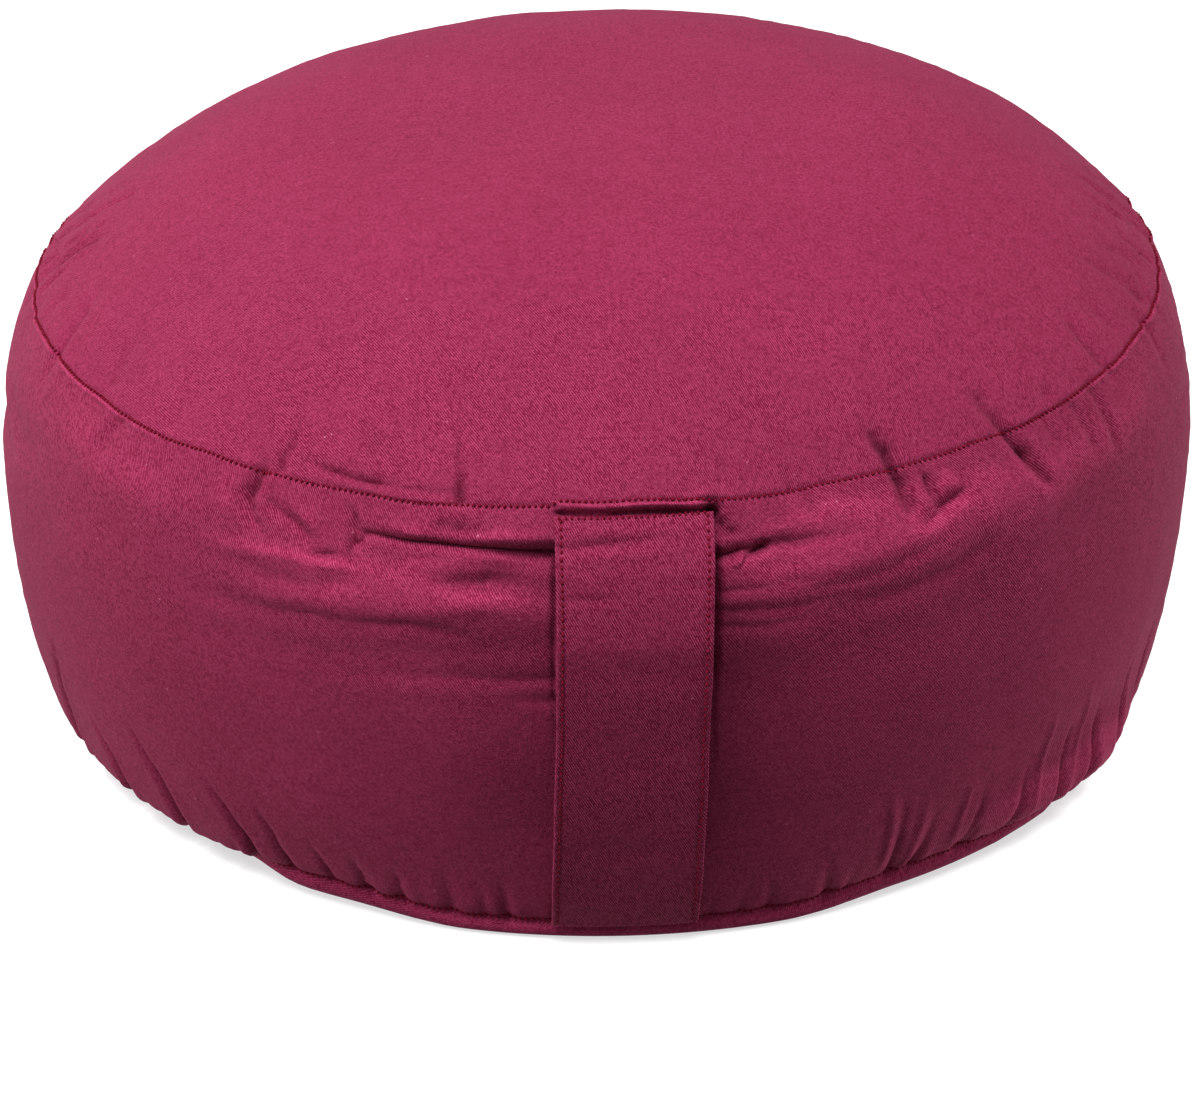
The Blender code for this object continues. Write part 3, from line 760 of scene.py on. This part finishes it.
# Twill: fine slanting ribs of burgundy cotton, about 18 to the centimetre, each rib
# broken into short floats, under a brushed bloom of fibre ends that hides most of it
# on the panels. The strap's cloth is pressed, so its ribs show more.
RIB_PITCH = 0.56 * MM
FLOAT_LENGTH = 0.9 * MM
THREAD_DARK = (0.160, 0.0050, 0.0320, 1.0)
THREAD_LIGHT = (0.440, 0.0540, 0.1400, 1.0)
FIBRE_PALE = (0.62, 0.30, 0.36, 1.0)
BLOOM = (1.0, 0.42, 0.58, 1.0)


def twill(name, slant, shade, rib_share, grain_share, hidden_at, shown_at):
    """Cloth whose ribs slant by so many degrees, and show more from hidden_at to shown_at up it."""
    material, start = new_material(name)
    flat = start.out("ShaderNodeAttribute", {"attribute_name": "weave"}, 1)
    noise = flat.noise
    u, v, _ = flat.parts()
    wander = (noise(70.0, 2.0) - 0.5) * (0.7 * MM) + (noise(700.0, 1.0) - 0.5) * (0.28 * MM)
    angle = math.radians(slant)
    across = u * math.sin(angle) - v * math.cos(angle) + wander
    along = u * math.cos(angle) + v * math.sin(angle)
    rib = across / RIB_PITCH
    rib_number = rib.math("FLOOR", rib)
    rib_wave = rib.math("COSINE", rib * TURN) * -0.5 + 0.5
    yarn = along / FLOAT_LENGTH + rib_number * 0.37
    float_wave = yarn.math("COSINE", yarn * TURN) * 0.5 + 0.5
    thick_thin = start.out("ShaderNodeCombineXYZ", i0=rib_number * 7.31, i1=yarn * 0.6).noise(1.0, 1.0, "2D")
    weave = rib_wave * (thick_thin.step(0.34, 0.62) * 0.50 + float_wave * 0.12 + 0.38)
    fuzz = noise(2100.0, 2.0)
    grain = noise(900.0, 2.0)
    cloud = noise(22.0, 3.0)
    patch = noise(240.0, 2.0)
    # The bloom hides the ribs in patches, and most where the cloth is little handled.
    bare = noise(75.0, 2.0).step(0.36, 0.60, 0.35, 1.0) * v.step(hidden_at, shown_at, 0.30, 1.0)
    fibres = (fuzz - 0.5) * 1.5 + (grain - 0.5) * 0.9 + (patch - 0.5) * 0.35
    light = (weave - 0.38) * bare * rib_share + fibres * grain_share + 0.45
    colour = light.step(0.0, 1.0).mix(THREAD_DARK, THREAD_LIGHT)
    # Ridges, pads and rolled edges are painted paler, partly as wear and partly as painted highlight. The
    # bottoms of folds and the marked recesses are darkened with painted shade, and the dye took unevenly.
    folded = start.out("ShaderNodeAttribute", {"attribute_name": "crease"}, 2)
    wear_and_highlight = folded.step(-0.0014, -0.0002, 1.35, 1.0)
    # Painted shade: darker the deeper a point lies in a fold or recess.
    depth = folded.step(0.0004, 0.0030, 1.0, 0.50) * folded.step(0.0030, 0.0060, 1.0, 0.55)
    level = (cloud - 0.5) * 0.22 + shade
    colour = (level * wear_and_highlight * depth).tint(colour)
    lint = noise(900.0, 1.0).step(0.74, 0.80) * noise(120.0, 0.0).step(0.62, 0.72)
    colour = (lint * 0.5).mix(colour, FIBRE_PALE)
    roughness = weave * 0.10 + 0.80
    relief = weave * (0.09 * MM * rib_share) + fuzz * (0.07 * MM) + grain * (0.07 * MM) + patch * (0.06 * MM)
    fixed = {"Sheen_Weight": 0.05, "Sheen_Roughness": 0.40, "Sheen_Tint": BLOOM, "Specular_IOR_Level": 0.04}
    return finish_material(material, start, relief.bump(0.9), colour, roughness, **fixed)


top_cloth = twill("top_panel_twill", -60.0, 0.92, 0.95, 0.62, -0.070, -0.135)
band_cloth = twill("band_twill", -54.0, 0.92, 0.95, 0.62, -0.062, -0.034)
bottom_cloth = twill("bottom_panel_twill", -40.0, 0.90, 0.70, 0.62, -0.2, -0.1)

# Rows of the laid-out skin, downward to each run in mm by so much a step, and its widest
# columns in degrees.
Stretch = namedtuple("Stretch", "down_to step")
BASE_ROWS = [
    Stretch(60, 7), Stretch(12, 3.5), Stretch(4, 2), Stretch(1.6, 0.8), Stretch(0.8, 0.4),
    Stretch(-0.8, 0.2), Stretch(-1.6, 0.4), Stretch(-4, 0.8), Stretch(-52, 2.4),
    Stretch(END + 36, 4), Stretch(END + 4, 2.4), Stretch(END - 4, 0.5), Stretch(END - 8, 1),
    Stretch(END - 158, 30),
]
BASE_COLUMN = 3.0
# The skin is halved three times where an edge is wider than this, in mm, and then three times
# where the cloth moves this much along it. It is finest in the stretches that hold the folds,
# beside both seams, and as far round as the photograph shows them.
FOLDS_FROM = -52.0
FOLDS_TO = 9.0
GATHERS_REACH = 38.0
SMOOTH_FROM = 60.0
FRONT_REACH = 64.0
HALVINGS = 3
FINE_WIDTH = 1.3
MIDDLE_WIDTH = 2.6
COARSE_WIDTH = 5.2
FINE_ROW = 1.3
LEAST_EDGE = 0.30
MOST_MOVE = 0.195


def laid_out_skin():
    """The skin as a flat net of azimuth in degrees and run in mm, with finer faces where it folds."""
    rows = [CROWN_RUN / MM]
    for stretch in BASE_ROWS:
        count = max(1, round((rows[-1] - stretch.down_to) / stretch.step))
        rows.extend(np.linspace(rows[-1], stretch.down_to, count + 1)[1:])
    columns = round(360.0 / BASE_COLUMN) + 1
    across = np.linspace(-180.0, 180.0, columns)
    net = bmesh.new()
    grid = [[net.verts.new((x, y, 0.0)) for x in across] for y in rows]
    for upper, lower in zip(grid, grid[1:]):
        for i in range(columns - 1):
            net.faces.new((upper[i], lower[i], lower[i + 1], upper[i + 1]))
    for step in range(2 * HALVINGS):
        net.verts.index_update()
        places = np.array([vertex.co[:2] for vertex in net.verts])
        ends = np.array([(edge.verts[0].index, edge.verts[1].index) for edge in net.edges])
        between = places[ends[:, 1]] - places[ends[:, 0]]
        azimuth, run = (0.5 * (places[ends[:, 0]] + places[ends[:, 1]])).T
        width = np.abs(between[:, 0]) * DEGREE / MM
        front = np.abs(azimuth) < FRONT_REACH
        seams = ((run > FOLDS_FROM) & (run < FOLDS_TO)) | ((run > END) & (run < END + GATHERS_REACH))
        if step < HALVINGS:
            most = np.where(run > SMOOTH_FROM, 2.0 * COARSE_WIDTH, COARSE_WIDTH)
            most = np.where(seams | (front & (run > END) & (run < SMOOTH_FROM)), MIDDLE_WIDTH, most)
            most = np.where(seams & front, FINE_WIDTH, most)
            split = width > most
            split |= front & seams & (np.abs(between[:, 1]) > FINE_ROW)
        else:
            moves, _ = cloth_moves(places[:, 0], places[:, 1] * MM)
            moved = np.linalg.norm(moves[:, ends[:, 1]] - moves[:, ends[:, 0]], axis=0)
            split = (moved > MOST_MOVE * MM) & (np.hypot(width, between[:, 1]) > 2.0 * LEAST_EDGE)
            split &= run > END - 1.0
            split &= front | (moved > 2.0 * MOST_MOVE * MM)
        edges = list(net.edges)
        chosen = [edges[i] for i in np.flatnonzero(split)]
        bmesh.ops.subdivide_edges(net, edges=chosen, cuts=1, use_grid_fill=True)
    return net


net = laid_out_skin()
skin_mesh = bpy.data.meshes.new("cushion_skin")
net.to_mesh(skin_mesh)
net.free()
azimuths, runs, _ = read(skin_mesh.vertices, "co", size=3).reshape(-1, 3).T
runs = runs * MM
points, fold_depth_and_light_marks = skin_points(azimuths, runs)
skin_mesh.vertices.foreach_set("co", points.ravel())

corner_vertex = read(skin_mesh.loops, "vertex_index", np.int32)
corner_starts = read(skin_mesh.polygons, "loop_start", np.int32)
corner_run = runs[corner_vertex]
corner_azimuth = np.radians(azimuths[corner_vertex])
corner_counts = np.diff(np.append(corner_starts, len(corner_vertex)))
face_run = np.add.reduceat(corner_run, corner_starts) / corner_counts
panel = np.where(face_run > 0.0, 0, np.where(face_run > BOTTOM_RUN, 1, 2))
corner_panel = np.repeat(panel, corner_counts)
# Where each corner lay in its panel's flat cloth, in metres: on the round panels from
# their middle, on the band along it.
from_middle = np.where(corner_panel == 0, CROWN_RUN - corner_run, corner_run - FLOOR_RUN)
on_band = corner_panel == 1
weave_u = np.where(on_band, corner_azimuth * CLOTH_RADIUS, from_middle * np.sin(corner_azimuth))
weave_v = np.where(on_band, corner_run, -from_middle * np.cos(corner_azimuth))
skin_mesh.polygons.foreach_set("material_index", panel.astype(np.int32))
lay_cloth(skin_mesh, np.stack([weave_u, weave_v, 0.5 * corner_panel], 1), fold_depth_and_light_marks)

# The two ends of the net meet at the back, and its first and last rows at a point.
net = bmesh.new()
net.from_mesh(skin_mesh)
bmesh.ops.remove_doubles(net, verts=net.verts, dist=0.002 * MM)
net.to_mesh(skin_mesh)
net.free()
skin_mesh.shade_smooth()
for material in (top_cloth, band_cloth, bottom_cloth):
    skin_mesh.materials.append(material)
cushion = new_object("cushion_skin", skin_mesh)
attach(cushion, "root")
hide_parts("cushion")

# Seam stitching: lockstitch in a darker crimson thread, sunk in the valley of
# each seam. It is sewn through both panels, about 13 stitches to 2 cm.

STITCH_PITCH = 1.55 * MM
STITCH_LENGTH = 0.95 * MM
THREAD_RADIUS = 0.40 * MM
THREAD_COLOUR = (0.215, 0.0015, 0.0220, 1.0)
THREAD_SHADE = (0.110, 0.0010, 0.0110, 1.0)


def thread_material():
    material, start = new_material("seam_thread")
    plies = start.out("ShaderNodeTexCoord", output=3).noise(2400.0, 2.0)
    colour = plies.step(0.3, 0.7).mix(THREAD_SHADE, THREAD_COLOUR)
    normal = (plies * (0.05 * MM)).bump(0.6)
    return finish_material(material, start, normal, colour, plies * 0.1 + 0.6, Specular_IOR_Level=0.1)


thread = thread_material()


def stitch_row(name, centres, tangents, normals, length, radius):
    """A row of stitches as one mesh: each a short thread that dips into the cloth at its ends."""
    rings = 6
    sides = 6
    draw = np.random.default_rng(len(centres))
    count = len(centres)
    side = np.cross(normals, tangents)
    lengths = length * draw.uniform(0.85, 1.12, count)
    turn = draw.normal(0.0, 0.10, count)
    tangents = tangents + side * turn[:, None]
    points = np.zeros((count, rings * sides, 3))
    for ring in range(rings):
        share = ring / (rings - 1)
        along = (share - 0.5) * lengths
        rise = radius * (1.5 * math.sin(math.pi * share) - 0.8)
        thin = radius * (0.62 + 0.38 * math.sin(math.pi * share))
        for s in range(sides):
            a = TURN * s / sides
            offset = normals * (rise + thin * math.sin(a)) + side * (thin * math.cos(a))
            points[:, ring * sides + s] = centres + tangents * along[:, None] + offset
    faces = []
    for stitch in range(count):
        base = stitch * rings * sides
        for ring in range(rings - 1):
            for s in range(sides):
                a = base + ring * sides + s
                b = base + ring * sides + (s + 1) % sides
                faces.append((a, b, b + sides, a + sides))
        faces.append(tuple(base + s for s in reversed(range(sides))))
        faces.append(tuple(base + (rings - 1) * sides + s for s in range(sides)))
    return new_piece(name, points.reshape(-1, 3), faces, thread)


def unit(vectors):
    return vectors / np.linalg.norm(vectors, axis=1)[:, None]


def on_skin(azimuth, run, lift):
    """Centres, tangents (to the right) and normals on the skin, for arrays of places."""
    steps = ((0.0, 0.0), (0.15, 0.0), (-0.15, 0.0), (0.0, 0.6), (0.0, -0.6))
    centre, right, left, above, below = (skin_points(azimuth + a, run + r * MM, lift)[0] for a, r in steps)
    tangent = unit(right - left)
    normal = unit(np.cross(tangent, above - below))
    return centre, tangent, normal


def seam_stitches(name, run, radius, lift, climb=0.0):
    """Stitches round a seam. Over the strap's end they climb by so much onto the top panel."""
    count = round(TURN * radius / STITCH_PITCH)
    azimuth = np.arange(count) * 360.0 / count - 180.0
    drop = WELT_DROP * (azimuth - WELT_DROP_FROM) if climb else 0.0
    sewn = over_strap(azimuth, 0.9, 0.3)
    centre, tangent, normal = on_skin(azimuth, run + (climb - drop) * sewn, lift)
    stitch_row(name, centre, tangent, normal, STITCH_LENGTH, THREAD_RADIUS)


seam_stitches("top_seam_stitches", 0.0, TOP_SEAM_RADIUS, lift=0.14 * MM, climb=1.2 * MM)
seam_stitches("bottom_seam_stitches", BOTTOM_RUN + 0.5 * MM, BAND_END_RADIUS, lift=0.2 * MM)

# The carry strap: a strip of the same twill folded to two layers, topstitched
# along both long edges and caught in the top and the bottom seam. It stands off
# the band by a finger's depth, and its right edge stands off a little more.

STRAP_WIDTH_TOP = 0.0391
STRAP_WIDTH_BOTTOM = 0.0381
STRAP_THICKNESS = 1.5 * MM
STRAP_TOP_AZIMUTH = 0.4
STRAP_BOTTOM_AZIMUTH = -0.3
STRAP_TOP_RUN = -2.6 * MM
STRAP_END_RUN = BOTTOM_RUN + 0.4 * MM
EDGE_TO_STITCH = 1.5 * MM
STRAP_STITCH_PITCH = 1.75 * MM
STRAP_THREAD_RADIUS = 0.33 * MM
STRAP_ROWS = 250
# Its place in the flat cloth, and how much painted shade darkens the stitches' furrow.
WEAVE_HALF_WIDTH = 0.02
WEAVE_LENGTH = 0.12
WEAVE_PATCH = 2.0
PRESSED_SHADE = 1.5
# How far the strap stands off the band, in mm, by the share of the way down.
StandOff = namedtuple("StandOff", "share distance")
STAND_OFFS = [
    StandOff(0.00, -0.5),
    StandOff(0.03, 1.0),
    StandOff(0.12, 3.0),
    StandOff(0.27, 4.4),
    StandOff(0.40, 3.7),
    StandOff(0.50, 2.9),
    StandOff(0.75, 2.3),
    StandOff(0.92, 1.0),
    StandOff(1.00, 0.0),
]
# Soft folds across the strap: share of the way down, side (-1 left, 1 right), reach to
# each side, and depth in mm.
StrapFold = namedtuple("StrapFold", "share side reach slope depth half_height")
STRAP_FOLDS = [
    StrapFold(0.058, -0.45, 0.70, -0.010, 0.95, 0.013),
    StrapFold(0.082, -0.20, 0.60, -0.004, -0.25, 0.014),
    StrapFold(0.165, -0.60, 0.40, 0.004, 0.32, 0.010),
    StrapFold(0.145, 0.75, 0.35, 0.006, 0.20, 0.012),
    StrapFold(0.330, 0.20, 0.90, 0.012, 0.18, 0.030),
    StrapFold(0.560, -0.30, 0.70, -0.012, 0.16, 0.035),
    StrapFold(0.780, 0.10, 0.80, 0.010, 0.20, 0.030),
    StrapFold(0.900, -0.40, 0.60, 0.006, 0.25, 0.022),
]


def strap_points(across, down, lift):
    """Points `lift` outside the strap's middle layer: across from -1 to 1, down from 0 to 1."""
    run = STRAP_TOP_RUN + (STRAP_END_RUN - STRAP_TOP_RUN) * down
    radius, height, out_r, out_z = outline_at(np.zeros(len(run)), run)
    lean = np.radians(STRAP_TOP_AZIMUTH + (STRAP_BOTTOM_AZIMUTH - STRAP_TOP_AZIMUTH) * down)
    width = STRAP_WIDTH_TOP + (STRAP_WIDTH_BOTTOM - STRAP_WIDTH_TOP) * down
    width = width + MM * (0.22 * np.sin(9.0 * down + 1.0) + 0.12 * np.sin(23.0 * down))
    distance = np.interp(down, *zip(*STAND_OFFS)) * MM
    free = smooth_step(0.0, 0.10, down) * smooth_step(1.0, 0.90, down)
    twist = 0.45 * smooth_step(0.8, 0.1, down) + 0.15 * np.sin(7.0 * down)
    distance = distance + free * MM * across * twist
    for fold in STRAP_FOLDS:
        line = fold.share + fold.slope * (across - fold.side)
        shape = bell((down - line) / fold.half_height) * bell((across - fold.side) / fold.reach)
        distance = distance - fold.depth * MM * shape
    distance = distance + 0.5 * STRAP_THICKNESS + 0.25 * MM + lift
    reach = radius + distance * out_r
    height = height + distance * out_z
    x = across * 0.5 * width
    end = 1.0 - free
    y = -reach + end * (reach - np.sqrt(reach * reach - x * x))
    turned_x = x * np.cos(lean) - y * np.sin(lean)
    turned_y = x * np.sin(lean) + y * np.cos(lean)
    return np.stack([turned_x, turned_y, height + SEAM_SLOPE * turned_x * height / TOP_SEAM_HEIGHT], 1)


def strap_cross_section():
    """Places round the strap's flat section, as shares of half its width and half its thickness."""
    flat = np.linspace(-0.985, 0.985, 56)
    outer = [(x, 1.0) for x in flat]
    edge = [(0.996, 0.66), (1.0, 0.0), (0.996, -0.66)]
    inner = [(x, -1.0) for x in flat[::-2]]
    return np.array(outer + edge + inner + [(-x, -z) for x, z in edge])


section = strap_cross_section()
strap_across = np.tile(section[:, 0], STRAP_ROWS)
strap_down = np.repeat(np.linspace(0.0, 1.0, STRAP_ROWS), len(section))
# The topstitching presses a line into both layers, and the edge outside it stands up as a bead.
from_edge = (1.0 - np.abs(strap_across)) * 0.5 * STRAP_WIDTH_TOP
along_strap = strap_down * (STRAP_TOP_RUN - STRAP_END_RUN)
at_stitch = 0.5 - 0.5 * np.cos(TURN * along_strap / STRAP_STITCH_PITCH)
pressed = (0.24 + 0.20 * at_stitch) * MM * bell((from_edge - EDGE_TO_STITCH) / (0.42 * MM))
bead = (0.20 - 0.10 * at_stitch) * MM * bell((from_edge - 0.7 * MM) / (0.55 * MM))
half = 0.5 * STRAP_THICKNESS - pressed + bead
strap_lift = np.tile(section[:, 1], STRAP_ROWS) * half
points = strap_points(strap_across, strap_down, strap_lift)
around = len(section)
faces = ring_faces(STRAP_ROWS, around)
weave = []
for face in faces:
    for row, column in (divmod(corner, around) for corner in face):
        place = (section[column, 0] * WEAVE_HALF_WIDTH, -row / STRAP_ROWS * WEAVE_LENGTH, WEAVE_PATCH)
        weave.append(place)
faces.append(tuple(range(around)))
faces.append(tuple((STRAP_ROWS - 1) * around + i for i in reversed(range(around))))
weave.extend([(0.0, 0.0, WEAVE_PATCH)] * (2 * around))

strap_cloth = twill("strap_twill", -60.0, 0.90, 1.50, 0.70, -0.3, -0.2)
strap = new_piece("carry_strap_cloth", points, faces, strap_cloth)
# The furrow's depth is the mask for its painted shade.
lay_cloth(strap.data, weave, PRESSED_SHADE * pressed)
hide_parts("carry_strap")


def strap_stitches(name, across, down, ahead, length, sunk):
    """Stitches on the strap's outer layer, at places across and down it, each `sunk` by so much."""
    lift = 0.5 * STRAP_THICKNESS - sunk
    centre = strap_points(across, down, lift)
    after, before = (strap_points(across, np.minimum(down + step, 1.0), lift) for step in (ahead, -ahead))
    right, left = (strap_points(across + step, down, lift) for step in (0.05, -0.05))
    tangent = unit(after - before)
    normal = unit(np.cross(tangent, right - left))
    return stitch_row(name, centre, tangent, normal, length, STRAP_THREAD_RADIUS)


def edge_stitches(name, side):
    """Topstitching along one long edge of the strap."""
    length = STRAP_TOP_RUN - STRAP_END_RUN
    down = (np.arange(round(length / STRAP_STITCH_PITCH)) + 0.5) * STRAP_STITCH_PITCH / length
    down = down[down < 0.995]
    across = np.full(len(down), side * (1.0 - 2.0 * EDGE_TO_STITCH / STRAP_WIDTH_TOP))
    return strap_stitches(name, across, down, ahead=0.004, length=1.3 * MM, sunk=0.16 * MM)


left_stitches = edge_stitches("strap_left_topstitching", -1.0)
right_stitches = edge_stitches("strap_right_topstitching", 1.0)
# The stitches that catch the strap's upper end, as short teeth over its edge.
teeth = np.arange(-0.94, 0.95, 2.0 * STITCH_PITCH / STRAP_WIDTH_TOP)
at_top = np.full(len(teeth), 0.001)
end_stitches = strap_stitches(
    "strap_end_stitches", teeth, at_top, ahead=0.006, length=1.2 * MM, sunk=0.02 * MM
)

# The studio: a plain pale floor that glows white but for a painted shadow by the cushion, a large soft light
# overhead, weaker ones from the left, the right and behind, and the camera at the photograph's angle with a
# long lens.

AIM_HEIGHT = 0.08
CAMERA_DISTANCE = 1.30
CAMERA_ELEVATION = math.radians(24.87)
CAMERA_TURN = math.radians(3.05)
# The aim point's place in the 1200 by 1111 frame, from its centre, and the focal length,
# in pixels.
AIM_RIGHT_PX = -3.8
AIM_UP_PX = 148.8
FOCAL_PX = 4636.0
FRAME_WIDTH_PX = 1200.0

camera_data = bpy.data.cameras.new("camera")
camera_data.sensor_width = 36.0
camera_data.lens = FOCAL_PX / FRAME_WIDTH_PX * camera_data.sensor_width
camera = new_object("camera", camera_data)
camera.matrix_world = (
    Matrix.Translation((0.0, 0.0, AIM_HEIGHT))
    @ Matrix.Rotation(-CAMERA_TURN, 4, "Z")
    @ Matrix.Rotation(0.5 * math.pi - CAMERA_ELEVATION, 4, "X")
    @ Matrix.Translation((0.0, 0.0, CAMERA_DISTANCE))
    @ Matrix.Rotation(-math.atan2(AIM_UP_PX, FOCAL_PX), 4, "X")
    @ Matrix.Rotation(math.atan2(AIM_RIGHT_PX, FOCAL_PX), 4, "Y")
)
bpy.context.scene.camera = camera

FLOOR_COLOUR = (0.30, 0.30, 0.302, 1.0)
PAINTED_SHADOW_GLOW = (0.58, 0.59, 0.59, 1.0)
FULL_GLOW = (1.0, 1.0, 1.0, 1.0)
floor_mesh = bpy.data.meshes.new("floor")
floor_mesh.from_pydata([(-6, -6, 0), (6, -6, 0), (6, 6, 0), (-6, 6, 0)], [], [(0, 1, 2, 3)])
floor = new_object("floor", floor_mesh)
floor_paint, start = new_material("floor_paint")
floor_grain = start.out("ShaderNodeTexCoord", output=3).noise(30.0, 2.0)
# The floor glows white by its own emission. An ambient-occlusion mask dims that glow into a narrow painted
# shadow by the cushion.
contact_shadow_mask = start.out("ShaderNodeAmbientOcclusion", output=1, Distance=0.007)
floor_glow_with_painted_shadow = contact_shadow_mask.step(0.30, 0.85).mix(PAINTED_SHADOW_GLOW, FULL_GLOW)
finish_material(
    floor_paint,
    start,
    floor_grain.bump(0.1, 0.0001),
    FLOOR_COLOUR,
    floor_grain * 0.05 + 0.8,
    Emission_Color=floor_glow_with_painted_shadow,
    Emission_Strength=1.0,
)
floor_mesh.materials.append(floor_paint)
floor.visible_diffuse = False

Lamp = namedtuple("Lamp", "name place size power colour aim", defaults=((0.0, 0.0, 0.1),))
LAMPS = [
    Lamp("key_softbox", (-0.15, -0.38, 1.68), 0.8, 22.0, (1.0, 0.98, 0.965)),
    Lamp("left_high_softbox", (-0.9, -0.6, 1.3), 0.8, 8.5, (1.0, 0.98, 0.97)),
    Lamp("left_low_softbox", (-1.7, -0.6, 0.7), 1.1, 11.0, (1.0, 0.94, 0.95)),
    Lamp("right_softbox", (1.75, -0.1, 0.4), 1.1, 13.5, (1.0, 0.94, 0.95)),
    Lamp("rear_softbox", (-1.2, 1.8, 1.0), 1.4, 17.0, (0.98, 0.99, 1.0), (0.0, 0.0, 0.12)),
]
for lamp in LAMPS:
    light = bpy.data.lights.new(lamp.name, "AREA")
    light.shape = "DISK"
    light.size = lamp.size
    light.energy = lamp.power
    light.color = lamp.colour
    holder = new_object(lamp.name, light)
    holder.location = lamp.place
    holder.rotation_euler = (Vector(lamp.place) - Vector(lamp.aim)).to_track_quat("Z", "Y").to_euler()

world = bpy.data.worlds.new("studio_air")
world.use_nodes = True
world.node_tree.nodes.clear()
air = Wire(world.node_tree, None)
_, backward, upward = air.out("ShaderNodeTexCoord").parts()
# The white floor and wall glow behind the cushion, and the dim room in front fills a little.
FLOOR_BEHIND = (1.0, 0.99, 0.985)
ROOM_IN_FRONT = (0.24, 0.24, 0.243)
behind = backward.step(-0.6, 0.6) * upward.step(-0.25, 0.35, 1.0, 0.0)
before = backward.step(-0.6, 0.6, 1.0, 0.0) * upward.step(-0.25, 0.35)
both = {"i0": behind.tint(FLOOR_BEHIND), "i1": before.tint(ROOM_IN_FRONT)}
glow = air.out("ShaderNodeVectorMath", {"operation": "ADD"}, **both)
air.node("ShaderNodeOutputWorld", Surface=air.out("ShaderNodeBackground", Color=glow, Strength=1.7))
bpy.context.scene.world = world
bpy.context.scene.view_settings.view_transform = "Standard"
